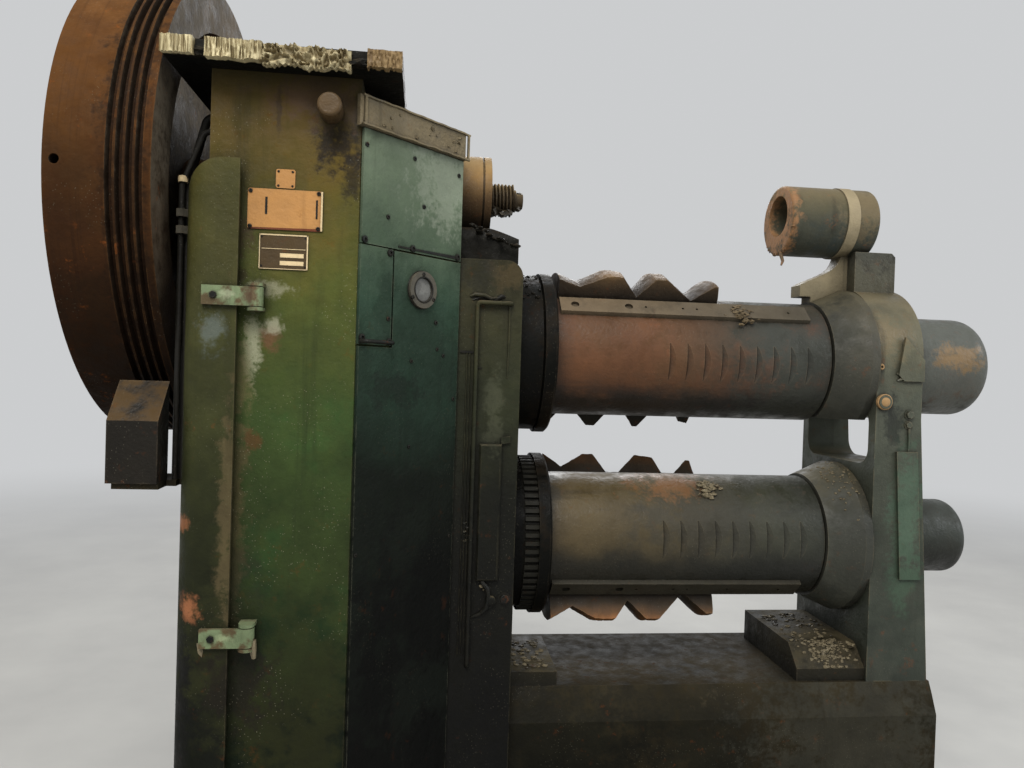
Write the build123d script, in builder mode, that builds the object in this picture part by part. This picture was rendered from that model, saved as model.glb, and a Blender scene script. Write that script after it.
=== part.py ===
"""Forging roll machine: two die rolls between a gear housing and an outboard stand.

+X runs along the rolls, away from the housing. +Y runs through the machine, away from the
operator. +Z is up. The origin is on the floor, below the middle of the roll barrels.
"""

import os
from math import cos, radians, sin

from build123d import *

os.makedirs("parts", exist_ok=True)

# Clearances
running_gap = 0.05
moving_gap = 6.0
seam = 3.0

# Roll line
roll_spacing = 560.0
lower_axis_z = 1000.0
upper_axis_z = lower_axis_z + roll_spacing
barrel_r = 188.0
barrel_left_x = -483.0
barrel_length = 847.0
barrel_right_x = barrel_left_x + barrel_length
journal_r = 120.0

# Housing and its bearing cheek, set out from the rolls
disc_room = 115.0
cheek_width = 177.0
bevel_depth = 249.0
face_width = 342.0
cheek_right_x = barrel_left_x - disc_room
housing_right_x = cheek_right_x - cheek_width
bevel_left_x = housing_right_x - bevel_depth
housing_left_x = bevel_left_x - face_width
housing_front_y = -547.0
housing_top_z = 2174.0
bevel_top_z = 2136.0
cheek_half_y = 296.0
cheek_rise = 243.0
cheek_top_z = upper_axis_z + cheek_rise

# Base and stand
collar_room = 128.0
stand_width = 146.0
stand_foot_spread = 50.0
stand_rise = 242.0
base_margin = 8.0
base_top_z = 598.0
base_half_y = 221.0
stand_left_x = barrel_right_x + collar_room
stand_right_x = stand_left_x + stand_width
stand_foot_right_x = stand_right_x + stand_foot_spread
stand_half_y = base_half_y
stand_top_z = upper_axis_z + stand_rise
base_right_x = stand_foot_right_x + base_margin

# Tie line above the rolls: the bore is on it, the tube round the bore hangs a little lower
tie_axis_z = 2030.0
tie_bore_r = 65.0
tube_drop = 15.0
tube_axis_z = tie_axis_z - tube_drop
tie_tube_r = 111.0
tube_overhang = 227.0
tube_seat = 62.0
tie_left_x = stand_left_x - tube_overhang
tie_right_x = stand_left_x + tube_seat

# Flywheel
wheel_room = 101.0
wheel_width = 225.0
wheel_axis_z = 1926.0
wheel_r = 630.0
wheel_right_x = housing_left_x - wheel_room
wheel_left_x = wheel_right_x - wheel_width
wheel_shaft_r = 90.0

# Base casting: bolted foot, upright wall, ledge and sloped shoulder below the bridge
foot_half_y = 400.0
foot_z = 90.0
foot_rise = 30.0
wall_half_y = 262.0
ledge_z = 510.0
shoulder_half_y = 238.0
shoulder_z = 565.0
anchor_hole_r = 22.0
anchor_x = 480.0
anchor_y = 350.0

with BuildPart() as base_bed:
    with BuildSketch(Plane.YZ.offset(cheek_right_x)):
        with BuildLine():
            Polyline(
                (-foot_half_y, 0),
                (foot_half_y, 0),
                (foot_half_y, foot_z),
                (wall_half_y, foot_z + foot_rise),
                (wall_half_y, ledge_z),
                (shoulder_half_y, shoulder_z),
                (base_half_y, base_top_z),
                (-base_half_y, base_top_z),
                (-shoulder_half_y, shoulder_z),
                (-wall_half_y, ledge_z),
                (-wall_half_y, foot_z + foot_rise),
                (-foot_half_y, foot_z),
                close=True,
            )
        make_face()
    extrude(amount=base_right_x - cheek_right_x)
    with Locations((0, 0, foot_z)):
        with GridLocations(2 * anchor_x, 2 * anchor_y, 2, 2):
            Cylinder(
                anchor_hole_r, foot_z, align=(Align.CENTER, Align.CENTER, Align.MAX), mode=Mode.SUBTRACT
            )

# Foot blocks at both ends of the bridge
left_block_length = 144.0
left_block_back_y = 98.0
left_block_height = 42.0
right_block_length = 215.0
right_block_setback = 10.0
right_block_back_y = 172.0
right_block_height = 97.0
right_block_chamfer = 60.0
right_block_front_y = right_block_setback - base_half_y

with BuildPart() as left_foot_block:
    with BuildSketch(Plane.XY.offset(base_top_z)):
        with Locations((cheek_right_x, -base_half_y)):
            Rectangle(left_block_length, left_block_back_y + base_half_y, align=(Align.MIN, Align.MIN))
    extrude(amount=left_block_height)

with BuildPart() as right_foot_block:
    with BuildSketch(Plane.XY.offset(base_top_z)):
        with Locations((stand_left_x, right_block_front_y)):
            Rectangle(
                right_block_length,
                right_block_back_y - right_block_front_y,
                align=(Align.MAX, Align.MIN),
            )
    extrude(amount=right_block_height)
    chamfer(right_foot_block.edges().group_by(Axis.Z)[-1].sort_by(Axis.Y)[0], right_block_chamfer)

# Gear housing with a 45 degree bevel toward the rolls, its top stepped down behind the bevel
with BuildPart() as housing_body:
    with BuildSketch(Plane.XY):
        with BuildLine():
            Polyline(
                (housing_left_x, housing_front_y),
                (bevel_left_x, housing_front_y),
                (housing_right_x, housing_front_y + bevel_depth),
                (housing_right_x, -housing_front_y - bevel_depth),
                (bevel_left_x, -housing_front_y),
                (housing_left_x, -housing_front_y),
                close=True,
            )
        make_face()
    extrude(amount=housing_top_z)
    with BuildSketch(Plane.XY.offset(bevel_top_z)):
        with Locations((bevel_left_x, 0)):
            Rectangle(bevel_depth, -2 * housing_front_y, align=(Align.MIN, Align.CENTER))
    extrude(amount=housing_top_z - bevel_top_z, mode=Mode.SUBTRACT)

# Bearing cheek on the roll side of the housing, rounded over at its free top edge
cheek_round_r = 45.0

with BuildPart() as housing_cheek:
    with BuildSketch(Plane.YZ.offset(housing_right_x)):
        with Locations((0, cheek_top_z / 2)):
            Rectangle(2 * cheek_half_y, cheek_top_z)
        with Locations((0, upper_axis_z), (0, lower_axis_z)):
            Circle(journal_r + running_gap, mode=Mode.SUBTRACT)
    extrude(amount=cheek_right_x - housing_right_x)
    fillet(housing_cheek.edges().filter_by(Axis.Y).group_by(Axis.Z)[-1].sort_by(Axis.X)[-1], cheek_round_r)

# Cap on the cheek, sloped down toward the rolls
cap_half_y = 235.0
cap_height = 102.0
cap_round_r = 40.0
cap_setback = 8.0
cap_slope_length = 84.0
cap_slope_drop = 33.0
cap_top_z = cheek_top_z + cap_height
cap_right_x = cheek_right_x - cap_setback

with BuildPart() as cheek_cap:
    with BuildSketch(Plane.YZ.offset(housing_right_x)):
        with Locations((0, (cheek_top_z + cap_top_z) / 2)):
            cap_face = Rectangle(2 * cap_half_y, cap_top_z - cheek_top_z)
        fillet(cap_face.vertices().group_by(Axis.Y)[-1], cap_round_r)
    extrude(amount=cap_right_x - housing_right_x)
    with BuildSketch(Plane.XZ.offset(cap_half_y)):
        with BuildLine():
            Polyline(
                (cap_right_x - cap_slope_length, cap_top_z),
                (cap_right_x, cap_top_z),
                (cap_right_x, cap_top_z - cap_slope_drop),
                close=True,
            )
        make_face()
    extrude(amount=-2 * cap_half_y, mode=Mode.SUBTRACT)

# Long narrow cover on the front of the cheek
cover_inset = 45.0
cover_width = 61.0
cover_low_z = 924.0
cover_high_z = 1299.0
cover_depth = 14.0
cover_chamfer = 4.0

with BuildPart() as cheek_cover:
    with BuildSketch(Plane.XZ.offset(cheek_half_y)):
        with Locations((cheek_right_x - cover_inset, cover_low_z)):
            Rectangle(cover_width, cover_high_z - cover_low_z, align=(Align.MAX, Align.MIN))
    extrude(amount=cover_depth)
    chamfer(cheek_cover.faces().sort_by(Axis.Y)[0].edges(), cover_chamfer)

# Grease pipe up the front of the cheek, bent toward the upper bearing
pipe_r = 6.0
pipe_stand_off = 12.0
pipe_inset = 124.0
pipe_end_inset = 30.0
pipe_low_z = 690.0
pipe_high_z = 1684.0
pipe_bend_r = 10.0
pipe_x = cheek_right_x - pipe_inset
pipe_end_x = cheek_right_x - pipe_end_inset

with BuildPart() as cheek_pipe:
    with BuildLine() as pipe_path:
        FilletPolyline(
            (pipe_x, -cheek_half_y, pipe_low_z),
            (pipe_x, -cheek_half_y - pipe_stand_off, pipe_low_z),
            (pipe_x, -cheek_half_y - pipe_stand_off, pipe_high_z),
            (pipe_end_x, -cheek_half_y - pipe_stand_off, pipe_high_z),
            (pipe_end_x, -cheek_half_y, pipe_high_z),
            radius=pipe_bend_r,
        )
    with BuildSketch(Plane(origin=pipe_path.line @ 0, z_dir=pipe_path.line % 0)):
        Circle(pipe_r)
    sweep()

# Tie rod boss on the cap, grooved behind its front ring
boss_r = 126.0
boss_setback = 79.0
boss_groove_inset = 27.0
boss_groove_width = 6.0
boss_groove_depth = 9.0
boss_right_x = cheek_right_x - boss_setback
rod_r = 50.0
rod_seat_depth = 60.0

with BuildPart() as tie_boss:
    with BuildSketch(Plane.YZ.offset(housing_right_x)):
        with Locations((0, tie_axis_z)):
            Circle(boss_r)
    extrude(amount=boss_right_x - housing_right_x)
    with BuildSketch(Plane.YZ.offset(boss_right_x - boss_groove_inset)):
        with Locations((0, tie_axis_z)):
            Circle(boss_r)
            Circle(boss_r - boss_groove_depth, mode=Mode.SUBTRACT)
    extrude(amount=boss_groove_width, mode=Mode.SUBTRACT)
    with BuildSketch(Plane.YZ.offset(housing_right_x)):
        with Locations((0, cap_top_z)):
            Rectangle(2 * boss_r, boss_r, align=(Align.CENTER, Align.MAX))
    extrude(amount=boss_right_x - housing_right_x, mode=Mode.SUBTRACT)
    with Locations(Plane.YZ.offset(boss_right_x)):
        with Locations((0, tie_axis_z)):
            Hole(rod_r, depth=rod_seat_depth)

# Stub of the broken tie rod: a few turns of thread, then the thinner broken end
thread_pitch = 11.0
thread_depth = 8.0
thread_turns = 7
rod_neck_r = 34.0
rod_neck_length = 28.0
rod_left_x = boss_right_x - rod_seat_depth
thread_end_x = boss_right_x + thread_turns * thread_pitch

with BuildPart() as tie_rod_stub:
    with BuildSketch(Plane.XZ):
        with BuildLine():
            thread_line = [(boss_right_x, tie_axis_z + rod_r)]
            for turn in range(thread_turns):
                turn_x = boss_right_x + turn * thread_pitch
                thread_line.append((turn_x + thread_pitch / 2, tie_axis_z + rod_r - thread_depth))
                thread_line.append((turn_x + thread_pitch, tie_axis_z + rod_r))
            Polyline(
                (rod_left_x, tie_axis_z),
                (rod_left_x, tie_axis_z + rod_r),
                *thread_line,
                (thread_end_x, tie_axis_z + rod_neck_r),
                (thread_end_x + rod_neck_length, tie_axis_z + rod_neck_r),
                (thread_end_x + rod_neck_length, tie_axis_z),
                close=True,
            )
        make_face()
    revolve(axis=Axis((0, 0, tie_axis_z), (1, 0, 0)))

# Covers on the bevel, all set out along its slanted width
bevel_plane = Plane(origin=(bevel_left_x, housing_front_y, 0), x_dir=(1, 1, 0), z_dir=(1, -1, 0))
bevel_width = bevel_depth * 2**0.5
panel_thickness = 8.0
panel_low_z = 300.0
panel_joint_z = 1790.0
strip_low_z = 2063.0
strip_overhang = 14.0
strip_thickness = 16.0
strip_chamfer = 5.0
hatch_low_z = 1551.0
hatch_width = 106.0

with BuildPart() as upper_panel:
    with BuildSketch(bevel_plane):
        with Locations((bevel_width / 2, (panel_joint_z + strip_low_z) / 2)):
            Rectangle(bevel_width - 2 * seam, strip_low_z - panel_joint_z - seam)
    extrude(amount=panel_thickness)

with BuildPart() as name_strip:
    with BuildSketch(bevel_plane):
        with Locations((-strip_overhang, strip_low_z)):
            Rectangle(bevel_width + strip_overhang, bevel_top_z - strip_low_z, align=(Align.MIN, Align.MIN))
    extrude(amount=strip_thickness)
    chamfer(name_strip.faces().sort_by(Axis((0, 0, 0), (1, -1, 0)))[-1].edges(), strip_chamfer)

with BuildPart() as hatch_cover:
    with BuildSketch(bevel_plane):
        with Locations((hatch_width / 2, (panel_joint_z + hatch_low_z) / 2)):
            Rectangle(hatch_width - seam, panel_joint_z - hatch_low_z - seam)
    extrude(amount=panel_thickness)

# Lower panel, notched for the hatch and bored for the sight glass
sight_x = 205.0
sight_z = 1700.0
sight_ring_r = 47.0
sight_glass_r = 30.0
sight_ring_height = 9.0
sight_glass_recess = 4.0

with BuildPart() as lower_panel:
    with BuildSketch(bevel_plane):
        with BuildLine():
            Polyline(
                (seam, panel_low_z),
                (bevel_width - seam, panel_low_z),
                (bevel_width - seam, panel_joint_z - seam),
                (hatch_width + seam, panel_joint_z - seam),
                (hatch_width + seam, hatch_low_z - seam),
                (seam, hatch_low_z - seam),
                close=True,
            )
        make_face()
        with Locations((sight_x, sight_z)):
            Circle(sight_glass_r + running_gap, mode=Mode.SUBTRACT)
    extrude(amount=panel_thickness)

with BuildPart() as sight_glass_ring:
    with BuildSketch(bevel_plane.offset(panel_thickness)):
        with Locations((sight_x, sight_z)):
            Circle(sight_ring_r)
            Circle(sight_glass_r + running_gap, mode=Mode.SUBTRACT)
    extrude(amount=sight_ring_height)

with BuildPart() as sight_glass:
    with BuildSketch(bevel_plane):
        with Locations((sight_x, sight_z)):
            Circle(sight_glass_r)
    extrude(amount=panel_thickness + sight_ring_height - sight_glass_recess)

# Bar handle at the foot of the hatch
handle_reach = 24.0
handle_r = 5.0
handle_bend_r = 10.0
handle_rise = 8.0
handle_left = 3.0
handle_right = 95.0
handle_z = hatch_low_z + handle_rise

with BuildPart() as hatch_handle:
    with BuildLine() as handle_path:
        FilletPolyline(
            bevel_plane.from_local_coords((handle_left + handle_r, handle_z, panel_thickness)),
            bevel_plane.from_local_coords((handle_left + handle_r, handle_z, panel_thickness + handle_reach)),
            bevel_plane.from_local_coords((handle_right, handle_z, panel_thickness + handle_reach)),
            bevel_plane.from_local_coords((handle_right, handle_z, panel_thickness)),
            radius=handle_bend_r,
        )
    with BuildSketch(Plane(origin=handle_path.line @ 0, z_dir=handle_path.line % 0)):
        Circle(handle_r)
    sweep()

# Board on the housing top
board_left_overhang = 89.0
board_right_overhang = 94.0
board_front_overhang = 91.0
board_back_overhang = 13.0
board_thickness = 40.0
board_left_x = housing_left_x - board_left_overhang
board_front_y = housing_front_y - board_front_overhang

with BuildPart() as top_board:
    with BuildSketch(Plane.XY.offset(housing_top_z)):
        with Locations((board_left_x, board_front_y)):
            Rectangle(
                bevel_left_x + board_right_overhang - board_left_x,
                board_back_overhang - housing_front_y - board_front_y,
                align=(Align.MIN, Align.MIN),
            )
    extrude(amount=board_thickness)

# Lifting pin and bare plates on the housing front
front_plane = Plane.XZ.offset(-housing_front_y)
pin_inset = 68.0
pin_drop = 82.0
pin_r = 28.0
pin_reach = 62.0
pin_round_r = 8.0
plate_inset = 170.0
plate_thickness = 2.0
plate_corner_r = 5.0
warning_z = 1858.0
warning_size = (168.0, 94.0)
rating_z = 1760.0
rating_size = (111.0, 82.0)
small_plate_z = 1930.0
small_plate_size = (44.0, 44.0)

with BuildPart() as lifting_pin:
    with BuildSketch(front_plane):
        with Locations((bevel_left_x - pin_inset, housing_top_z - pin_drop)):
            Circle(pin_r)
    extrude(amount=pin_reach)
    fillet(lifting_pin.faces().sort_by(Axis.Y)[0].edges(), pin_round_r)


def front_plate(centre_z, size):
    """Bare rounded plate on the housing front."""
    with BuildPart() as plate:
        with BuildSketch(front_plane):
            with Locations((bevel_left_x - plate_inset, centre_z)):
                RectangleRounded(*size, plate_corner_r)
        extrude(amount=plate_thickness)
    return plate


warning_plate = front_plate(warning_z, warning_size)
rating_plate = front_plate(rating_z, rating_size)
small_plate = front_plate(small_plate_z, small_plate_size)

# Guard door: a bowed cover round the front left corner, on two strap hinges
door_overhang = 53.0
door_cover = 76.0
door_stand_off = 31.0
door_wrap = 47.0
door_left_x = housing_left_x - door_overhang
door_right_x = housing_left_x + door_cover
door_front_y = housing_front_y - door_stand_off
door_back_y = housing_front_y + door_wrap
door_wall = 10.0
door_bow_r = 70.0
door_low_z = 330.0
door_high_z = 1965.0
door_corner_r = 95.0
hinge_reach = 40.0
hinge_stand_off = 25.0
hinge_x = door_right_x + hinge_reach
hinge_y = housing_front_y - hinge_stand_off
hinge_pin_r = 9.0
knuckle_r = 18.0
knuckle_gap = 2.0
hinge_height = 44.0
hinge_ear = 8.0
strap_thickness = 10.0
lower_strap_z = 845.0
lower_strap_inset = 67.0
upper_strap_z = 1629.0
upper_strap_inset = 53.0

with BuildPart() as guard_door:
    with BuildSketch(Plane.XY.offset(door_low_z)):
        with BuildLine():
            door_side = Line((door_left_x, door_back_y), (door_left_x, door_front_y + door_bow_r))
            door_bow = RadiusArc(door_side @ 1, (door_left_x + door_bow_r, door_front_y), -door_bow_r)
            door_face = Line(door_bow @ 1, (door_right_x, door_front_y))
            door_lip = Line(door_face @ 1, (door_right_x, door_front_y + door_wall))
            door_inner = Line(door_lip @ 1, (door_left_x + door_bow_r, door_front_y + door_wall))
            door_inner_bow = RadiusArc(
                door_inner @ 1, (door_left_x + door_wall, door_front_y + door_bow_r), door_bow_r - door_wall
            )
            door_inner_side = Line(door_inner_bow @ 1, (door_left_x + door_wall, door_back_y))
            Line(door_inner_side @ 1, door_side @ 0)
        make_face()
    extrude(amount=door_high_z - door_low_z)
    with BuildSketch(Plane.XZ.offset(-door_back_y)):
        with Locations((door_left_x, door_high_z)):
            Rectangle(door_corner_r, door_corner_r, align=(Align.MIN, Align.MAX))
        with Locations((door_left_x + door_corner_r, door_high_z - door_corner_r)):
            Circle(door_corner_r, mode=Mode.SUBTRACT)
    extrude(amount=door_back_y - door_front_y, mode=Mode.SUBTRACT)

with BuildPart() as door_straps:
    for strap_z, strap_inset in ((lower_strap_z, lower_strap_inset), (upper_strap_z, upper_strap_inset)):
        with BuildSketch(Plane.XY.offset(strap_z)):
            with Locations((hinge_x, door_front_y)):
                Rectangle(hinge_x - door_left_x - strap_inset, strap_thickness, align=(Align.MAX, Align.MAX))
            with Locations((hinge_x, hinge_y)):
                Circle(knuckle_r)
                Circle(hinge_pin_r + running_gap, mode=Mode.SUBTRACT)
        extrude(amount=hinge_height)

# Bracket ears above and below each knuckle, with the pin through them
with BuildPart() as hinge_brackets:
    for strap_z in (lower_strap_z, upper_strap_z):
        lower_ear_z = strap_z - knuckle_gap - hinge_ear
        upper_ear_z = strap_z + hinge_height + knuckle_gap
        for ear_z in (lower_ear_z, upper_ear_z):
            with BuildSketch(Plane.XY.offset(ear_z)):
                with Locations((hinge_x, hinge_y)):
                    Circle(knuckle_r)
                with Locations((hinge_x, housing_front_y)):
                    Rectangle(2 * knuckle_r, housing_front_y - hinge_y, align=(Align.CENTER, Align.MAX))
            extrude(amount=hinge_ear)
        with Locations((hinge_x, hinge_y, lower_ear_z)):
            Cylinder(
                hinge_pin_r,
                upper_ear_z + hinge_ear - lower_ear_z,
                align=(Align.CENTER, Align.CENTER, Align.MIN),
            )

# Box with a sloped lid under the flywheel, on a bracket from the housing wall
box_room = 90.0
box_width = 112.0
box_depth = 74.0
box_stand_off = 27.0
box_low_z = 1217.0
box_front_height = 143.0
box_back_height = 233.0
box_right_x = housing_left_x - box_room
box_left_x = box_right_x - box_width
box_front_y = housing_front_y - box_stand_off
box_back_y = box_front_y + box_depth
bracket_thickness = 14.0
bracket_margin = 10.0
bracket_step = 68.0
bracket_setback = 67.0
bracket_depth = 90.0
bracket_step_x = housing_left_x - bracket_step
bracket_step_y = box_back_y - moving_gap
bracket_front_y = housing_front_y + bracket_setback
bracket_back_y = bracket_front_y + bracket_depth

with BuildPart() as switch_box:
    with BuildSketch(Plane.YZ.offset(box_left_x)):
        with BuildLine():
            Polyline(
                (box_front_y, box_low_z),
                (box_back_y, box_low_z),
                (box_back_y, box_low_z + box_back_height),
                (box_front_y, box_low_z + box_front_height),
                close=True,
            )
        make_face()
    extrude(amount=box_right_x - box_left_x)

with BuildPart() as box_bracket:
    with BuildSketch(Plane.XY.offset(box_low_z - bracket_thickness)):
        with BuildLine():
            Polyline(
                (box_left_x + bracket_margin, box_front_y + bracket_margin),
                (box_right_x, box_front_y + bracket_margin),
                (box_right_x, bracket_step_y),
                (bracket_step_x, bracket_step_y),
                (bracket_step_x, bracket_front_y),
                (housing_left_x, bracket_front_y),
                (housing_left_x, bracket_back_y),
                (box_left_x + bracket_margin, bracket_back_y),
                close=True,
            )
        make_face()
    extrude(amount=bracket_thickness)

# Two hoses from the housing wall down to the bracket, past the free edge of the door
# Values: setback from the housing front, distance from its wall, height, height of the turn, radius
black_hose = (80.0, 68.0, 2085.0, 1930.0, 10.0)
grey_hose = (59.0, 77.0, 2045.0, 1915.0, 7.0)
hose_exit = 28.0
hose_bend_r = 22.0

with BuildPart() as left_hoses:
    for hose_setback, hose_room, hose_high_z, hose_turn_z, hose_r in (black_hose, grey_hose):
        hose_y = housing_front_y + hose_setback
        hose_x = housing_left_x - hose_room
        with BuildLine() as hose_path:
            FilletPolyline(
                (housing_left_x, hose_y, hose_high_z),
                (housing_left_x - hose_exit, hose_y, hose_high_z),
                (hose_x, hose_y, hose_turn_z),
                (hose_x, hose_y, box_low_z),
                radius=hose_bend_r,
            )
        with BuildSketch(Plane(origin=hose_path.line @ 0, z_dir=hose_path.line % 0)):
            Circle(hose_r)
        sweep()

# Bearing collars: cones that open toward the stand
collar_left_x = barrel_right_x + moving_gap
collar_rim = 25.0
collar_small_r = 196.0
collar_large_r = 238.0
collar_clearance = 4.0
collar_flat_r = 175.0


def bearing_collar(axis_z):
    """Cone round the free end of one roll barrel, bored for the journal."""
    with BuildPart() as collar:
        with BuildSketch(Plane.XZ):
            with BuildLine():
                Polyline(
                    (collar_left_x, axis_z + journal_r + collar_clearance),
                    (stand_left_x, axis_z + journal_r + collar_clearance),
                    (stand_left_x, axis_z + collar_large_r),
                    (stand_left_x - collar_rim, axis_z + collar_large_r),
                    (collar_left_x, axis_z + collar_small_r),
                    close=True,
                )
            make_face()
        revolve(axis=Axis((0, 0, axis_z), (1, 0, 0)))
    return collar


lower_collar = bearing_collar(lower_axis_z)

# The upper collar is cut flat below, over the roll gap
with BuildPart() as upper_collar:
    add(bearing_collar(upper_axis_z).part)
    split(bisect_by=Plane.XY.offset(upper_axis_z - collar_flat_r), keep=Keep.TOP)

# Outboard stand: arched frame with both roll bearings and the window between them
arch_spring_z = stand_top_z - stand_half_y
taper_top_z = 1393.0
bearing_boss_r = 175.0
window_half_y = 185.0
window_rise = 250.0
window_drop = 137.0
window_low_z = lower_axis_z + window_rise
window_high_z = upper_axis_z - window_drop
window_corner_r = 50.0
neck_half_y = 75.0
neck_setback = 10.0
neck_cradle = 12.0
neck_chamfer = 12.0
neck_right_x = stand_right_x - neck_setback
neck_top_z = tube_axis_z - tie_tube_r + neck_cradle


def stand_edge_x(height):
    """Outer edge of the stand at a height below the top of its taper."""
    taper = (stand_foot_right_x - stand_right_x) / (taper_top_z - base_top_z)
    return stand_right_x + taper * (taper_top_z - height)


# Raised pads and an oil boss on the front of the stand
pad_drop = 91.0
pad_rise = 295.0
pad_low_z = lower_axis_z - pad_drop
pad_high_z = lower_axis_z + pad_rise
pad_margin = 18.0
pad_width = 68.0
pad_raise = 9.0
ear_drop = 52.0
ear_rise = 80.0
ear_width = 82.0
ear_low_z = upper_axis_z - ear_drop
ear_high_z = upper_axis_z + ear_rise
ear_left_x = stand_right_x - ear_width
oil_boss_inset = 22.0
oil_boss_drop = 116.0
oil_boss_x = stand_left_x + oil_boss_inset
oil_boss_z = upper_axis_z - oil_boss_drop
oil_boss_r = 20.0
oil_boss_reach = 14.0

with BuildPart() as outboard_stand:
    with BuildSketch(Plane.YZ.offset(stand_left_x)):
        with BuildLine():
            stand_arch = ThreePointArc(
                (-stand_half_y, arch_spring_z), (0, stand_top_z), (stand_half_y, arch_spring_z)
            )
            Polyline(stand_arch @ 1, (stand_half_y, base_top_z), (-stand_half_y, base_top_z), stand_arch @ 0)
        make_face()
        with Locations((0, (window_low_z + window_high_z) / 2)):
            RectangleRounded(
                2 * window_half_y, window_high_z - window_low_z, window_corner_r, mode=Mode.SUBTRACT
            )
        with Locations((0, upper_axis_z), (0, lower_axis_z)):
            Circle(bearing_boss_r)
            Circle(journal_r + running_gap, mode=Mode.SUBTRACT)
    extrude(amount=stand_foot_right_x - stand_left_x)
    with BuildSketch(Plane.XZ.offset(stand_half_y)):
        with BuildLine():
            Polyline(
                (stand_left_x, base_top_z),
                (stand_foot_right_x, base_top_z),
                (stand_right_x, taper_top_z),
                (stand_right_x, stand_top_z),
                (stand_left_x, stand_top_z),
                close=True,
            )
        make_face()
    extrude(amount=-2 * stand_half_y, mode=Mode.INTERSECT)
    with BuildSketch(Plane.XZ.offset(neck_half_y)):
        with BuildLine():
            Polyline(
                (stand_left_x, upper_axis_z + bearing_boss_r),
                (neck_right_x, upper_axis_z + bearing_boss_r),
                (neck_right_x, neck_top_z - neck_chamfer),
                (neck_right_x - neck_chamfer, neck_top_z),
                (stand_left_x, neck_top_z),
                close=True,
            )
        make_face()
    extrude(amount=-2 * neck_half_y)
    with BuildSketch(Plane.YZ.offset(stand_left_x)):
        with Locations((0, tube_axis_z)):
            Circle(tie_tube_r)
    extrude(amount=tube_seat, mode=Mode.SUBTRACT)
    with BuildSketch(Plane.XZ.offset(stand_half_y)):
        with BuildLine():
            Polyline(
                (stand_edge_x(pad_low_z) - pad_margin, pad_low_z),
                (stand_edge_x(pad_high_z) - pad_margin, pad_high_z),
                (stand_edge_x(pad_high_z) - pad_margin - pad_width, pad_high_z),
                (stand_edge_x(pad_low_z) - pad_margin - pad_width, pad_low_z),
                close=True,
            )
        make_face()
        with BuildLine():
            Polyline(
                (ear_left_x, ear_low_z + pad_margin),
                (ear_left_x + pad_margin, ear_low_z),
                (stand_right_x, ear_low_z),
                (stand_right_x, ear_high_z - pad_width),
                (ear_left_x + pad_margin, ear_high_z),
                close=True,
            )
        make_face()
        with Locations((oil_boss_x, oil_boss_z)):
            Circle(oil_boss_r)
    extrude(amount=pad_raise)
    with BuildSketch(Plane.XZ.offset(stand_half_y + pad_raise)):
        with Locations((oil_boss_x, oil_boss_z)):
            Circle(oil_boss_r)
    extrude(amount=oil_boss_reach - pad_raise)

# Tie tube over the stand
tube_round_r = 10.0

with BuildPart() as tie_tube:
    with BuildSketch(Plane.YZ.offset(tie_left_x)):
        with Locations((0, tube_axis_z)):
            Circle(tie_tube_r)
        with Locations((0, tie_axis_z)):
            Circle(tie_bore_r, mode=Mode.SUBTRACT)
    extrude(amount=tie_right_x - tie_left_x)
    fillet(tie_tube.edges().filter_by(GeomType.CIRCLE).sort_by(Edge.length)[-2:], tube_round_r)

# Web from the upper collar to the tube, hollowed on its free side, with the strap round the tube
web_half_y = 30.0
web_sink = 12.0
web_end_height = 36.0
web_curve = ((-159, -222), (-92, -190), (-39, -155), (-19, -103), (-10, -29))
strap_inset = 8.0
strap_width = 39.0
strap_raise = 3.0
web_low_z = upper_axis_z + collar_small_r - web_sink
web_line = [(stand_left_x + along, tie_axis_z + rise) for along, rise in web_curve]

with BuildPart() as tie_web:
    with BuildSketch(Plane.XZ.offset(web_half_y)):
        with BuildLine():
            Spline(*web_line)
            Polyline(
                web_line[-1],
                (stand_left_x, web_line[-1][1]),
                (stand_left_x, web_low_z),
                (collar_left_x, web_low_z),
                (collar_left_x, web_line[0][1] - web_end_height),
                (web_line[0][0], web_line[0][1] - web_end_height),
                web_line[0],
            )
        make_face()
    extrude(amount=-2 * web_half_y)
    add(upper_collar.part, mode=Mode.SUBTRACT)
    with BuildSketch(Plane.YZ.offset(stand_left_x - strap_inset - strap_width)):
        with Locations((0, tube_axis_z)):
            Circle(tie_tube_r + strap_raise)
    extrude(amount=strap_width)
    with BuildSketch(Plane.YZ.offset(tie_left_x)):
        with Locations((0, tube_axis_z)):
            Circle(tie_tube_r)
    extrude(amount=tie_right_x - tie_left_x, mode=Mode.SUBTRACT)

# Turned rolls: journal in the cheek, barrel with a keyed seat, journal through the stand, tail
upper_tail_r = 157.0
upper_tail_reach = 292.0
upper_tail_round_r = 60.0
lower_tail_r = 118.0
lower_tail_reach = 252.0
lower_tail_round_r = 35.0
bar_left_inset = 18.0
bar_right_inset = 57.0
bar_left_x = barrel_left_x + bar_left_inset
bar_right_x = barrel_right_x - bar_right_inset
bar_width = 64.0
bar_seat_r = 172.0
bar_top_r = 200.0
bar_angle = 43.0
slot_angle = 95.0
slot_count = 9
slot_inset = 342.0
slot_pitch = 53.6
slot_length = 109.0
slot_width = 24.0
slot_depth = 10.0
slot_rise = 2.0
centre_stub_r = 15.0
centre_stub_reach = 15.0


def seat_plane(axis_z, angle, radius, along_x):
    """Plane square to the roll radius; angle runs from straight up toward the operator."""
    outward = (0, -sin(radians(angle)), cos(radians(angle)))
    return Plane(
        origin=(along_x, radius * outward[1], axis_z + radius * outward[2]),
        x_dir=(1, 0, 0),
        z_dir=outward,
    )


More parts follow.
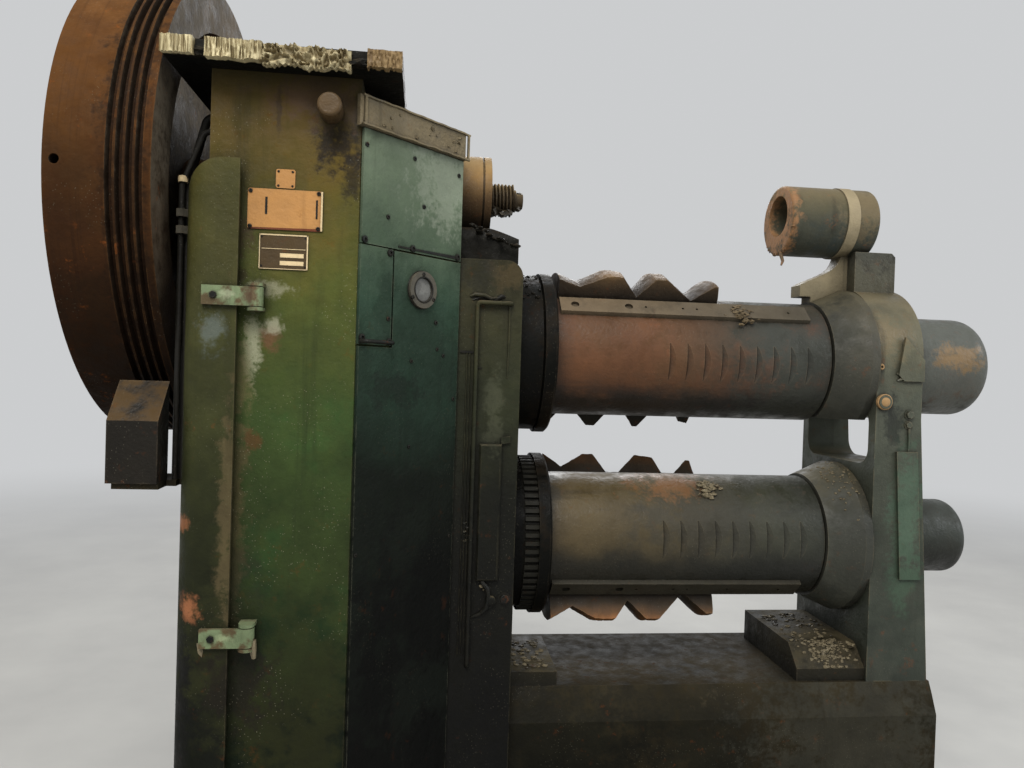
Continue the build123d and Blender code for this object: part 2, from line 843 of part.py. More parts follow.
def turned_roll(axis_z, shoulder_x, tail_x, tail_r, tail_round_r, seat_angle, row_angle):
    """One roll as a single turned piece, seated for its clamp bar, with a row of setting slots."""
    with BuildPart() as roll:
        with BuildSketch(Plane.XZ):
            with BuildLine():
                Polyline(
                    (housing_right_x + moving_gap, axis_z),
                    (housing_right_x + moving_gap, axis_z + journal_r),
                    (barrel_left_x, axis_z + journal_r),
                    (barrel_left_x, axis_z + barrel_r),
                    (barrel_right_x, axis_z + barrel_r),
                    (barrel_right_x, axis_z + journal_r),
                    (shoulder_x, axis_z + journal_r),
                    (shoulder_x, axis_z + tail_r),
                    (tail_x, axis_z + tail_r),
                    (tail_x, axis_z),
                    close=True,
                )
            make_face()
        revolve(axis=Axis((0, 0, axis_z), (1, 0, 0)))
        fillet(roll.faces().sort_by(Axis.X)[-1].edges(), tail_round_r)
        with BuildSketch(Plane.YZ.offset(tail_x)):
            with Locations((0, axis_z)):
                Circle(centre_stub_r)
        extrude(amount=centre_stub_reach)
        with BuildSketch(seat_plane(axis_z, seat_angle, bar_seat_r, bar_left_x)):
            Rectangle(bar_right_x - bar_left_x, bar_width, align=(Align.MIN, Align.CENTER))
        extrude(amount=barrel_r, mode=Mode.SUBTRACT)
        row_plane = seat_plane(axis_z, row_angle, barrel_r, barrel_left_x + slot_inset)
        with BuildSketch(Plane(row_plane.origin, x_dir=row_plane.x_dir, z_dir=-row_plane.y_dir)):
            for index in range(slot_count):
                slot_x = index * slot_pitch
                with BuildLine():
                    Polyline(
                        (slot_x, -slot_depth),
                        (slot_x, slot_rise),
                        (slot_x + slot_width, slot_rise),
                        close=True,
                    )
                make_face()
        extrude(amount=slot_length / 2, both=True, mode=Mode.SUBTRACT)
    return roll


upper_roll = turned_roll(
    upper_axis_z,
    stand_right_x + moving_gap,
    stand_right_x + upper_tail_reach,
    upper_tail_r,
    upper_tail_round_r,
    bar_angle,
    slot_angle,
)
lower_roll = turned_roll(
    lower_axis_z,
    stand_foot_right_x + moving_gap,
    stand_right_x + lower_tail_reach,
    lower_tail_r,
    lower_tail_round_r,
    180 - bar_angle,
    180 - slot_angle,
)

# Clamp bars, each with two bolt counterbores and a row of small tapped holes along its face
bolt_hole_r = 12.5
bolt_hole_depth = 9.0
bolt_hole_places = (45, 209)
tapped_hole_r = 4.0
tapped_hole_places = (261, 376, 420, 546, 710)


def clamp_bar(axis_z, angle):
    """Bar in the barrel's seat that holds the die by its front edge."""
    with BuildPart() as bar:
        with BuildSketch(seat_plane(axis_z, angle, bar_seat_r, bar_left_x)):
            Rectangle(bar_right_x - bar_left_x, bar_width, align=(Align.MIN, Align.CENTER))
        extrude(amount=bar_top_r - bar_seat_r)
        with Locations(seat_plane(axis_z, angle, bar_top_r, bar_left_x)):
            with Locations(*[(place, 0) for place in bolt_hole_places]):
                Hole(bolt_hole_r, depth=bolt_hole_depth)
            with Locations(*[(place, 0) for place in tapped_hole_places]):
                Hole(tapped_hole_r, depth=bolt_hole_depth)
    return bar


upper_bar = clamp_bar(upper_axis_z, bar_angle)
lower_bar = clamp_bar(lower_axis_z, 180 - bar_angle)

# Flange discs at the housing end of each barrel
flange_r = 246.0
back_disc_r = 238.0
flange_thickness = 37.0
disc_left_x = cheek_right_x + moving_gap
disc_joint_x = barrel_left_x - flange_thickness
disc_chamfer = 6.0


def flange_disc(axis_z, left_x, right_x, rim_r):
    """Plain disc bored for the roll journal."""
    with BuildPart() as disc:
        with BuildSketch(Plane.YZ.offset(left_x)):
            with Locations((0, axis_z)):
                Circle(rim_r)
                Circle(journal_r, mode=Mode.SUBTRACT)
        extrude(amount=right_x - left_x)
        chamfer(disc.faces().sort_by(Axis.X)[-1].edges().sort_by(Edge.length)[-1], disc_chamfer)
    return disc


upper_back_disc = flange_disc(upper_axis_z, disc_left_x, disc_joint_x, back_disc_r)
upper_flange = flange_disc(upper_axis_z, disc_joint_x, barrel_left_x, flange_r)
lower_flange = flange_disc(lower_axis_z, disc_joint_x, barrel_left_x, flange_r)

# Setting ring behind the lower flange: a plain hub, with straight teeth along the roll beside the flange
ring_hub_r = 226.0
tooth_width = 40.0
tooth_count = 64
tooth_depth = 8.0
tooth_space = 19.0
tooth_flank_angle = 68.0

with BuildPart() as lower_gear:
    with BuildSketch(Plane.YZ.offset(disc_left_x)):
        with Locations((0, lower_axis_z)):
            Circle(ring_hub_r)
            Circle(journal_r, mode=Mode.SUBTRACT)
    extrude(amount=disc_joint_x - disc_left_x)
    with BuildSketch(Plane.YZ.offset(disc_joint_x - tooth_width)):
        with Locations((0, lower_axis_z)):
            Circle(back_disc_r)
            Circle(journal_r, mode=Mode.SUBTRACT)
            with PolarLocations(back_disc_r, tooth_count):
                Trapezoid(
                    tooth_space, 2 * tooth_depth, tooth_flank_angle, rotation=90, mode=Mode.SUBTRACT
                )
    extrude(amount=tooth_width)

# Die segments: a dished seat, then ridges and valleys along the roll, round half of the barrel
die_inset = 5.0
die_left_x = barrel_left_x + die_inset
die_arc = 180.0
die_bar_angle = 13.5
valley_r = 12.0
ridge_r = 4.0

# Die profiles: place along the die, distance from the roll axis and, for the ridges, rounding
upper_dish = ((12, 253), (76, 231), (155, 266))
upper_ridges = (
    (205, 267, ridge_r),
    (253, 205, valley_r),
    (307, 264, ridge_r),
    (340, 265, ridge_r),
    (424, 200, valley_r),
    (494, 250, ridge_r),
    (505, 250, ridge_r),
    (510, 210, ridge_r),
)
lower_dish = ((16, 269), (84, 233), (151, 270))
lower_ridges = (
    (214, 272, ridge_r),
    (256, 216, valley_r),
    (309, 272, ridge_r),
    (351, 272, ridge_r),
    (431, 194, valley_r),
    (500, 257, ridge_r),
    (522, 257, ridge_r),
    (526, 210, ridge_r),
)


def die_segment(axis_z, first_angle, dish, ridges):
    """Profiled shell from first_angle on, turning toward the operator by the die's arc."""
    dish_points = [(die_left_x + along, axis_z + radius) for along, radius in dish]
    ridge_points = [(die_left_x + along, axis_z + radius) for along, radius, turn_r in ridges]
    turn_radii = [turn_r for along, radius, turn_r in ridges[:-1]]
    with BuildPart() as die:
        with BuildSketch(Plane.XZ):
            with BuildLine():
                Polyline((die_left_x, axis_z + barrel_r), (die_left_x, dish_points[0][1]), dish_points[0])
                ThreePointArc(*dish_points)
                FilletPolyline(dish_points[-1], *ridge_points, radius=turn_radii)
                Polyline(
                    ridge_points[-1],
                    (ridge_points[-1][0], axis_z + barrel_r),
                    (die_left_x, axis_z + barrel_r),
                )
            make_face()
        revolve(axis=Axis((0, 0, axis_z), (1, 0, 0)), revolution_arc=die_arc)
    die.part = die.part.rotate(Axis((0, 0, axis_z), (1, 0, 0)), first_angle)
    return die


upper_die = die_segment(upper_axis_z, bar_angle - die_bar_angle - die_arc, upper_dish, upper_ridges)
lower_die = die_segment(lower_axis_z, 180 - bar_angle + die_bar_angle, lower_dish, lower_ridges)

# Flywheel with a grooved belt track and a balance hole, and its shaft
rim_inner_r = 510.0
wheel_web_setback = 88.0
wheel_web_thickness = 45.0
wheel_web_right_x = wheel_right_x - wheel_web_setback
wheel_web_left_x = wheel_web_right_x - wheel_web_thickness
hub_r = 170.0
groove_pitch = 21.0
groove_depth = 16.0
groove_top = 8.0
groove_floor = 4.0
groove_inset = 26.0
groove_count = 4
balance_hole_inset = 25.0
balance_hole_r = 11.0
balance_hole_depth = 40.0

with BuildPart() as flywheel:
    with BuildSketch(Plane.XZ):
        with BuildLine():
            Polyline(
                (wheel_left_x, wheel_axis_z + wheel_shaft_r),
                (wheel_left_x, wheel_axis_z + hub_r),
                (wheel_web_left_x, wheel_axis_z + hub_r),
                (wheel_web_left_x, wheel_axis_z + rim_inner_r),
                (wheel_left_x, wheel_axis_z + rim_inner_r),
                (wheel_left_x, wheel_axis_z + wheel_r),
                (wheel_right_x, wheel_axis_z + wheel_r),
                (wheel_right_x, wheel_axis_z + rim_inner_r),
                (wheel_web_right_x, wheel_axis_z + rim_inner_r),
                (wheel_web_right_x, wheel_axis_z + hub_r),
                (wheel_right_x, wheel_axis_z + hub_r),
                (wheel_right_x, wheel_axis_z + wheel_shaft_r),
                close=True,
            )
        make_face()
        for index in range(groove_count):
            groove_x = wheel_right_x - groove_inset - index * groove_pitch
            with BuildLine():
                Polyline(
                    (groove_x - groove_top, wheel_axis_z + wheel_r),
                    (groove_x - groove_floor, wheel_axis_z + wheel_r - groove_depth),
                    (groove_x + groove_floor, wheel_axis_z + wheel_r - groove_depth),
                    (groove_x + groove_top, wheel_axis_z + wheel_r),
                    close=True,
                )
            make_face(mode=Mode.SUBTRACT)
    revolve(axis=Axis((0, 0, wheel_axis_z), (1, 0, 0)))
    hole_x = wheel_left_x + balance_hole_inset
    with Locations(Plane(origin=(hole_x, -wheel_r, wheel_axis_z), z_dir=(0, -1, 0))):
        Hole(balance_hole_r, depth=balance_hole_depth)

shaft_reach = 30.0
shaft_chamfer = 8.0
wheel_bearing_r = 160.0

with BuildPart() as flywheel_shaft:
    with BuildSketch(Plane.YZ.offset(wheel_left_x - shaft_reach)):
        with Locations((0, wheel_axis_z)):
            Circle(wheel_shaft_r)
    extrude(amount=housing_left_x - moving_gap - wheel_left_x + shaft_reach)
    chamfer(flywheel_shaft.faces().sort_by(Axis.X)[0].edges(), shaft_chamfer)

with BuildPart() as flywheel_bearing:
    with BuildSketch(Plane.YZ.offset(wheel_right_x + moving_gap)):
        with Locations((0, wheel_axis_z)):
            Circle(wheel_bearing_r)
            Circle(wheel_shaft_r + running_gap, mode=Mode.SUBTRACT)
    extrude(amount=housing_left_x - wheel_right_x - moving_gap)

pieces = {
    "base_bed": base_bed,
    "left_foot_block": left_foot_block,
    "right_foot_block": right_foot_block,
    "housing_body": housing_body,
    "housing_cheek": housing_cheek,
    "cheek_cap": cheek_cap,
    "cheek_cover": cheek_cover,
    "cheek_pipe": cheek_pipe,
    "tie_boss": tie_boss,
    "tie_rod_stub": tie_rod_stub,
    "upper_panel": upper_panel,
    "name_strip": name_strip,
    "hatch_cover": hatch_cover,
    "hatch_handle": hatch_handle,
    "lower_panel": lower_panel,
    "sight_glass_ring": sight_glass_ring,
    "sight_glass": sight_glass,
    "top_board": top_board,
    "lifting_pin": lifting_pin,
    "warning_plate": warning_plate,
    "rating_plate": rating_plate,
    "small_plate": small_plate,
    "guard_door": guard_door,
    "door_straps": door_straps,
    "hinge_brackets": hinge_brackets,
    "left_hoses": left_hoses,
    "switch_box": switch_box,
    "box_bracket": box_bracket,
    "outboard_stand": outboard_stand,
    "upper_collar": upper_collar,
    "lower_collar": lower_collar,
    "tie_tube": tie_tube,
    "tie_web": tie_web,
    "upper_roll": upper_roll,
    "lower_roll": lower_roll,
    "upper_back_disc": upper_back_disc,
    "lower_gear": lower_gear,
    "upper_flange": upper_flange,
    "lower_flange": lower_flange,
    "upper_bar": upper_bar,
    "lower_bar": lower_bar,
    "upper_die": upper_die,
    "lower_die": lower_die,
    "flywheel": flywheel,
    "flywheel_shaft": flywheel_shaft,
    "flywheel_bearing": flywheel_bearing,
}
for name, piece in pieces.items():
    piece.part.label = name
    export_step(piece.part, f"parts/{name}.step")
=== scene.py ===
import math
import random

import bmesh
import bpy
from mathutils import Matrix, Vector, noise


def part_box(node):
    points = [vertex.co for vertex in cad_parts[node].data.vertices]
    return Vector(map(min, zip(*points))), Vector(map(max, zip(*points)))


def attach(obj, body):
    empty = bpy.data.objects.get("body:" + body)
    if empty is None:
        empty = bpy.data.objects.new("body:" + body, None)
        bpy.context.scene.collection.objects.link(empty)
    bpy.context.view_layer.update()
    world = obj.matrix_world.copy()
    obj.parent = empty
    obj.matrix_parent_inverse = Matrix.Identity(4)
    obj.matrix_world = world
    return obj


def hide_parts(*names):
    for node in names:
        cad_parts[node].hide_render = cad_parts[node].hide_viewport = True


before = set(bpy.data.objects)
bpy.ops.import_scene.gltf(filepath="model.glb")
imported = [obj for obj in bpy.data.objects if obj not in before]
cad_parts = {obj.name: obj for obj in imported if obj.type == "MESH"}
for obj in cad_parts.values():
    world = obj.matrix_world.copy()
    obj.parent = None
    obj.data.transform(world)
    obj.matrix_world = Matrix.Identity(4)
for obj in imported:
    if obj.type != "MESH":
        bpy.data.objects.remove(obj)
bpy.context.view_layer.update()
scene = bpy.context.scene

upper_height = 1.56
lower_height = 1.0
housing_front = -0.547
cheek_front = -0.296
to_front = (0, -1, 0)


# Camera at the photograph's place and angle


def place_camera():
    picture_width, focal_length = 1024.0, 773.0
    azimuth, pitch, roll = (math.radians(a) for a in (6.5, -0.81, 1.83))
    level = Vector((math.sin(azimuth), math.cos(azimuth), 0.0))
    forward = math.cos(pitch) * level + Vector((0.0, 0.0, math.sin(pitch)))
    level_right = Vector((math.cos(azimuth), -math.sin(azimuth), 0.0))
    level_up = level_right.cross(forward)
    right = math.cos(roll) * level_right + math.sin(roll) * level_up
    up = math.cos(roll) * level_up - math.sin(roll) * level_right
    camera = bpy.data.objects.new("camera", bpy.data.cameras.new("camera"))
    camera.data.sensor_width = 36.0
    camera.data.lens = camera.data.sensor_width * focal_length / picture_width
    camera.data.clip_end = 200.0
    camera.matrix_world = Matrix((right, up, -forward)).transposed().to_4x4()
    camera.location = (-0.860, -2.404, 1.495)
    scene.collection.objects.link(camera)
    scene.camera = camera


place_camera()


# Node-based surfaces


def srgb(*channels):
    """The linear colour of a screen colour that is given from 0 to 255."""
    shares = [c / 255.0 for c in channels]
    linear = [s / 12.92 if s <= 0.04045 else ((s + 0.055) / 1.055) ** 2.4 for s in shares]
    return (*linear, 1.0)


class Surface:
    """A material that is built layer by layer from the object's own coordinates."""

    def __init__(self, name):
        self.material = bpy.data.materials.new(name)
        self.material.use_nodes = True
        self.nodes = self.material.node_tree.nodes
        self.links = self.material.node_tree.links
        self.nodes.clear()
        self.output = self.nodes.new("ShaderNodeOutputMaterial")
        self.shader = self.nodes.new("ShaderNodeBsdfPrincipled")
        self.links.new(self.shader.outputs[0], self.output.inputs[0])
        coordinates = self.nodes.new("ShaderNodeTexCoord")
        self.place = coordinates.outputs["Object"]
        self.x, self.y, self.z = self.split(self.place)
        self.facing = self.split(coordinates.outputs["Normal"])

    def put(self, socket, value):
        if isinstance(value, bpy.types.NodeSocket):
            self.links.new(value, socket)
        else:
            socket.default_value = value

    def add(self, kind, *inputs, result=0, **settings):
        """A new node's output. Its first inputs get values or links in their order."""
        node = self.nodes.new("ShaderNode" + kind)
        for name, value in settings.items():
            setattr(node, name, value)
        for socket, value in zip(node.inputs, inputs):
            self.put(socket, value)
        return node.outputs[result]

    def split(self, vector):
        return self.add("SeparateXYZ", vector).node.outputs[:3]

    def math(self, operation, a, b=0.0, c=0.0):
        return self.add("Math", a, b, c, operation=operation)

    def times(self, a, b):
        return self.math("MULTIPLY", a, b)

    def times_plus(self, a, b, c):
        """a times b, plus c."""
        return self.math("MULTIPLY_ADD", a, b, c)

    def mapped(self, scale, shift=(0.0, 0.0, 0.0)):
        return self.add("Mapping", self.place, shift, (0.0, 0.0, 0.0), scale)

    def noise(self, scale, detail=3.0, roughness=0.6, stretch=None, shift=0.0):
        vector = self.place
        if stretch or shift:
            vector = self.mapped(stretch or (1.0, 1.0, 1.0), (shift, 0.7 * shift, 1.3 * shift))
        return self.add("TexNoise", vector, 0.0, scale, detail, roughness)

    def length(self, vector):
        return self.add("VectorMath", vector, operation="LENGTH", result="Value")

    def away(self, hub):
        """The distance from the line along x at the height hub."""
        return self.length(self.mapped((0.0, 1.0, 1.0), (0.0, 0.0, -hub)))

    def cells(self, scale):
        return self.add("TexVoronoi", self.place, 0.0, scale, result="Distance")

    def fade(self, value, start, end, low=0.0, high=1.0):
        """low where value is at start or before, high at end or after, and smooth between them."""
        if start > end:
            start, end, low, high = end, start, high, low
        return self.add("MapRange", value, start, end, low, high, interpolation_type="SMOOTHSTEP")

    def blend(self, factor, a, b):
        node = self.nodes.new("ShaderNodeMix")
        node.data_type = "RGBA"
        for index, value in ((0, factor), (6, a), (7, b)):
            self.put(node.inputs[index], value)
        return node.outputs[2]

    def tint(self, colour, mask, strength, over):
        """The colour, with a screen colour laid over it inside the mask."""
        return self.blend(self.times(mask, strength), colour, srgb(*over))

    def scaled(self, colour, factor):
        none = (0.0, 0.0, 0.0)
        return self.add("VectorMath", colour, none, none, factor, operation="SCALE")

    def ramp(self, value, stops):
        """A colour ramp over value, from (place, colour) stops whose places run from 0 to 1."""
        result = self.add("ValToRGB", value)
        elements = result.node.color_ramp.elements
        elements[0].position, elements[0].color = stops[0]
        elements[1].position, elements[1].color = stops[-1]
        for position, colour in stops[1:-1]:
            elements.new(position).color = colour
        return result

    def edges(self, radius):
        """1 on edges and corners, 0 on the flat."""
        rounded = self.add("Bevel", radius, samples=2)
        flat = self.add("NewGeometry", result="Normal")
        dot = self.add("VectorMath", rounded, flat, operation="DOT_PRODUCT", result="Value")
        return self.fade(dot, 0.995, 0.80)

    def corners(self, reach):
        """1 deep in corners and under ledges, where shade falls, and 0 in the open."""
        white = (1.0, 1.0, 1.0, 1.0)
        open_share = self.add("AmbientOcclusion", white, reach, samples=2, result="AO")
        return self.fade(open_share, 0.97, 0.35)

    def spot(self, centre, size, ragged):
        """1 inside a ragged spot about centre, whose half widths are given by size, and 0 outside it."""
        reached = self.length(self.mapped([1.0 / s for s in size], [-c / s for c, s in zip(centre, size)]))
        return self.fade(self.math("ADD", ragged, reached), 1.15, 0.30)


def weathered(
    name, tones, axis=2, hub=None, span=(0.0, 2.2), wander=0.25, second=None, second_share=0.0,
    second_scale=2.6, mottle=0.8, grit=0.6, streaks=0.5, streak_stretch=(16.0, 16.0, 0.8),
    grime_and_shade=(26, 24, 18), hollow_shade_share=0.75, hollow_shade_reach=0.07, worn=(96, 84, 66), worn_share=0.45,
    worn_reach=0.005, rust=(112, 62, 30), rust_share=0.3, dust=(104, 94, 72), dust_share=0.5, specks=0.25,
    shade_below=None, side=None, spots=(), rough=(0.45, 0.8), shine=0.22, grain=0.0012, dents=0.003,
):
    """Old paint or bare casting.

    The tones, two colours or several (stop, colour) pairs, run along one axis over the span. Axis 3 is the
    distance from the line along x at the height hub. Over them lie a second tone, painted shade below a
    height, painted light on a side, spots, mottling, runs, rust, grime and painted shade in hollows, worn
    edges, dust on top and pale specks.
    Colours are screen colours, and shares run from 0 to 1.
    """
    s = Surface(name)
    broad = s.noise(5.0, 5.0, 0.62)
    middle = s.noise(21.0, 4.0, 0.66, shift=2.0)
    fine = s.noise(95.0, 2.0, 0.6, shift=5.0)
    place = s.times_plus(broad, wander, s.away(hub) if axis == 3 else (s.x, s.y, s.z)[axis])
    along = s.fade(place, span[0] + 0.5 * wander, span[1] + 0.5 * wander)
    along.node.interpolation_type = "LINEAR"
    stops = zip((0.0, 1.0), tones) if len(tones[0]) == 3 else tones
    colour = s.ramp(along, [(stop, srgb(*tone)) for stop, tone in stops])
    if second:
        field = s.times_plus(middle, 0.35, s.noise(second_scale, 4.0, 0.6, shift=9.0))
        colour = s.blend(s.fade(field, 0.62, 0.76, 0.0, second_share), colour, srgb(*second))
    # Painted shade: a dark tone on the surface below a height, the part's underside.
    if shade_below:
        start, end, tone, strength = shade_below
        sunk = s.fade(s.times_plus(s.math("SUBTRACT", broad, 0.5), 0.12, s.z), start, end)
        colour = s.tint(colour, sunk, strength, tone)
    # Painted light: a paler tone on the faces that turn to one side, growing with height.
    if side:
        along_axis, facing, start, end, tone, strength = side
        faced = s.fade(s.facing[along_axis], facing, 0.95)
        lit = s.times(faced, s.fade(s.times_plus(middle, 0.3, s.z), start, end))
        colour = s.tint(colour, lit, strength, tone)
    if spots:
        ragged = s.times_plus(fine, 1.2, s.times_plus(broad, 1.0, -2.4))
        ragged = s.times_plus(middle, 2.6, ragged)
        for centre, size, tone, strength in spots:
            colour = s.tint(colour, s.spot(centre, size, ragged), strength, tone)
    uneven = s.times_plus(broad, 1.7 * mottle, 1.0 - 0.85 * mottle - 0.6 * grit)
    uneven = s.times_plus(middle, 0.9 * grit, uneven)
    uneven = s.math("MAXIMUM", s.times_plus(fine, 0.3 * grit, uneven), 0.25)
    colour = s.scaled(colour, uneven)
    if streaks:
        runs = s.fade(s.noise(1.0, 5.0, 0.62, stretch=streak_stretch), 0.52, 0.70)
        colour = s.tint(colour, s.times(runs, s.fade(broad, 0.30, 0.58)), streaks, grime_and_shade)
    blooms = s.times(s.fade(s.noise(30.0, 5.0, 0.7, shift=3.0), 0.58, 0.68), s.fade(broad, 0.46, 0.62))
    colour = s.tint(colour, blooms, rust_share, rust)
    # Grime and painted shade: ambient occlusion darkens the colour in corners, hollows and under ledges.
    hollow = s.corners(hollow_shade_reach)
    colour = s.tint(colour, hollow, hollow_shade_share, grime_and_shade)
    bare = s.times(s.math("SUBTRACT", s.edges(worn_reach), hollow), s.fade(middle, 0.40, 0.56))
    colour = s.tint(colour, s.math("MAXIMUM", bare, 0.0), worn_share, worn)
    if dust_share:
        patches = s.fade(s.math("ADD", broad, middle), 0.75, 1.1)
        settled = s.times(s.fade(s.facing[2], 0.35, 0.95), patches)
        colour = s.tint(colour, settled, dust_share, dust)
    if specks:
        patches = s.fade(s.noise(7.0, 2.0, 0.5, shift=7.0), 0.48, 0.60)
        colour = s.tint(colour, s.times(s.fade(s.cells(140.0), 0.16, 0.07), patches), specks, (158, 152, 130))
    s.put(s.shader.inputs["Base Color"], colour)
    s.shader.inputs["Specular IOR Level"].default_value = shine
    s.put(s.shader.inputs["Roughness"], s.fade(s.times_plus(blooms, 0.4, middle), 0.30, 0.72, *rough))
    bump = s.nodes.new("ShaderNodeBump")
    bump.inputs["Distance"].default_value = 1.0
    relief = s.times_plus(fine, grain, s.times(broad, dents))
    s.put(bump.inputs["Height"], s.times_plus(middle, 1.5 * grain, relief))
    s.put(s.shader.inputs["Normal"], bump.outputs[0])
    return s.material


def on_face(y, depth, rows):
    """Spots on a face that looks forward, from (x, z, half width, half height, tone, strength)."""
    return [((x, y, z), (wide, depth, high), tone, strength) for x, z, wide, high, tone, strength in rows]


def dress(material, *nodes):
    for node in nodes:
        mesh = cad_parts[node].data
        mesh.materials.clear()
        mesh.materials.append(material)


# The tones darken to near black towards the bottom: painted shade.
housing_green = weathered(
    "housing_green",
    [
        (0.0, (6, 11, 4)), (0.3, (9, 19, 6)), (0.44, (27, 45, 20)), (0.62, (56, 80, 38)),
        (0.76, (76, 82, 34)), (0.88, (86, 72, 28)), (1.0, (74, 58, 28)),
    ],
    wander=0.5, second=(52, 52, 24), second_share=0.4, mottle=0.6, grime_and_shade=(20, 26, 14), rust_share=0.15,
    dust_share=0.2, specks=0.6, shine=0.16,
    spots=on_face(housing_front, 0.05, (
        (-1.258, 1.54, 0.024, 0.085, (164, 164, 136), 0.75),
        (-1.28, 1.46, 0.026, 0.12, (108, 104, 66), 0.5),
        (-1.222, 1.56, 0.026, 0.034, (104, 70, 50), 0.7),
        (-1.215, 1.59, 0.026, 0.022, (158, 156, 132), 0.7),
        (-1.235, 1.675, 0.06, 0.026, (150, 148, 122), 0.65),
        (-1.305, 1.705, 0.04, 0.026, (60, 44, 26), 0.7),
        (-1.075, 2.02, 0.06, 0.085, (26, 19, 12), 0.9),
        (-1.045, 1.95, 0.03, 0.06, (34, 28, 16), 0.8),
        (-1.12, 2.12, 0.13, 0.07, (82, 62, 44), 0.8),
        (-1.213, 2.09, 0.008, 0.07, (50, 40, 28), 0.6),
        (-1.32, 1.8, 0.05, 0.07, (74, 56, 38), 0.8),
        (-1.295, 1.15, 0.035, 0.42, (104, 88, 60), 0.55),
        (-1.252, 1.32, 0.022, 0.024, (92, 62, 34), 0.7),
        (-1.27, 0.74, 0.09, 0.12, (30, 26, 18), 0.85),
        (-1.31, 0.98, 0.1, 0.12, (44, 46, 30), 0.5),
    )),
)
# The tones darken towards the bottom: painted shade.
door_green = weathered(
    "door_green",
    [
        (0.0, (9, 11, 5)), (0.3, (14, 17, 8)), (0.55, (46, 49, 25)), (0.75, (61, 62, 33)),
        (1.0, (80, 74, 36)),
    ],
    span=(0.3, 2.0), wander=0.4, second=(56, 58, 30), second_share=0.4, grime_and_shade=(20, 22, 12), dust_share=0.2,
    shine=0.16, mottle=0.7,
    spots=(
        ((-1.34, -0.575, 1.575), (0.04, 0.05, 0.05), (98, 106, 100), 0.65),
        ((-1.3, -0.575, 1.15), (0.022, 0.05, 0.3), (106, 92, 64), 0.55),
        ((-1.383, -0.575, 0.93), (0.034, 0.06, 0.036), (156, 100, 66), 0.85),
        ((-1.41, -0.56, 1.121), (0.022, 0.06, 0.024), (146, 94, 60), 0.8),
        ((-1.4, -0.56, 0.72), (0.035, 0.08, 0.2), (12, 12, 10), 0.9),
        ((-1.3, -0.575, 0.76), (0.05, 0.05, 0.1), (30, 26, 18), 0.8),
    ),
)
# The tones run from near black at the bottom to pale at the top: painted shade over oily grime below, painted
# light above.
bevel_teal = weathered(
    "bevel_teal",
    [
        (0.0, (3, 3, 2)), (0.44, (5, 6, 4)), (0.56, (15, 20, 14)), (0.66, (34, 51, 40)),
        (0.76, (46, 66, 52)), (0.86, (88, 102, 82)), (1.0, (112, 122, 102)),
    ],
    wander=0.2, second=(22, 28, 21), second_share=0.4, grime_and_shade=(14, 16, 12), rust_share=0.08, shine=0.12,
    mottle=0.45, grit=0.45, streaks=0.4, worn=(112, 112, 94), specks=0.15,
    spots=(
        # A pale patch at the panel's upper right: painted highlight.
        ((-0.81, -0.34, 1.98), (0.13, 0.13, 0.13), (142, 150, 132), 0.6),
        ((-0.93, -0.46, 1.44), (0.12, 0.12, 0.05), (22, 28, 22), 0.6),
    ),
)
# The tones darken to near black towards the bottom: painted shade.
cheek_olive = weathered(
    "cheek_olive",
    [
        (0.0, (5, 5, 4)), (0.38, (8, 8, 6)), (0.52, (20, 21, 14)), (0.66, (42, 45, 28)),
        (0.82, (56, 53, 33)), (1.0, (62, 53, 36)),
    ],
    wander=0.3, second=(16, 16, 10), second_share=0.5, mottle=0.7, grime_and_shade=(14, 13, 9), worn=(84, 78, 56),
    shine=0.18,
    spots=on_face(cheek_front, 0.05, (
        (-0.64, 1.76, 0.06, 0.05, (84, 70, 44), 0.5),
        (-0.715, 1.76, 0.05, 0.06, (34, 34, 26), 0.6),
        (-0.685, 1.695, 0.05, 0.008, (24, 22, 16), 0.9),
        (-0.668, 1.4, 0.03, 0.12, (78, 80, 62), 0.5),
    )),
)
cap_dark = weathered(
    "cap_dark", [(13, 13, 8), (18, 16, 10)],
    span=(1.8, 1.91), wander=0.04, mottle=0.9, dust=(62, 46, 28), dust_share=0.4, worn=(60, 50, 34),
    shine=0.15, dents=0.012,
)
boss_tan = weathered(
    "boss_tan", [(0.0, (38, 29, 18)), (0.4, (78, 58, 34)), (0.75, (128, 99, 58)), (1.0, (146, 118, 76))],
    span=(1.92, 2.12), wander=0.05, mottle=0.5, streaks=0.3, streak_stretch=(10.0, 10.0, 2.0),
    rust_share=0.4,
)
# The tones are dark at the bottom and lightest just below the top: painted shade below and painted light from
# above.
stand_grey = weathered(
    "stand_grey",
    [
        (0.0, (30, 33, 27)), (0.34, (48, 53, 45)), (0.5, (64, 69, 58)), (0.66, (86, 90, 76)),
        (0.8, (102, 95, 73)), (0.88, (60, 59, 51)), (1.0, (56, 56, 50)),
    ],
    wander=0.3, second=(58, 60, 51), second_share=0.5, worn=(138, 122, 92), dust=(104, 92, 68),
    rough=(0.32, 0.7), shine=0.3,
    spots=(
        ((0.598, -0.225, 1.1), (0.06, 0.05, 0.22), (76, 98, 80), 0.7),
        ((0.6, -0.225, 0.9), (0.055, 0.05, 0.1), (66, 86, 68), 0.6),
        ((0.52, -0.225, 1.67), (0.1, 0.06, 0.09), (120, 104, 76), 0.6),
        ((0.46, -0.24, 1.7), (0.05, 0.1, 0.07), (60, 60, 50), 0.5),
        ((0.545, -0.225, 1.38), (0.035, 0.04, 0.09), (24, 26, 24), 0.7),
        # A dark patch on the neck between the arch and the tube: painted shade.
        ((0.56, 0.0, 1.88), (0.09, 0.1, 0.06), (48, 46, 38), 0.85),
    ),
)
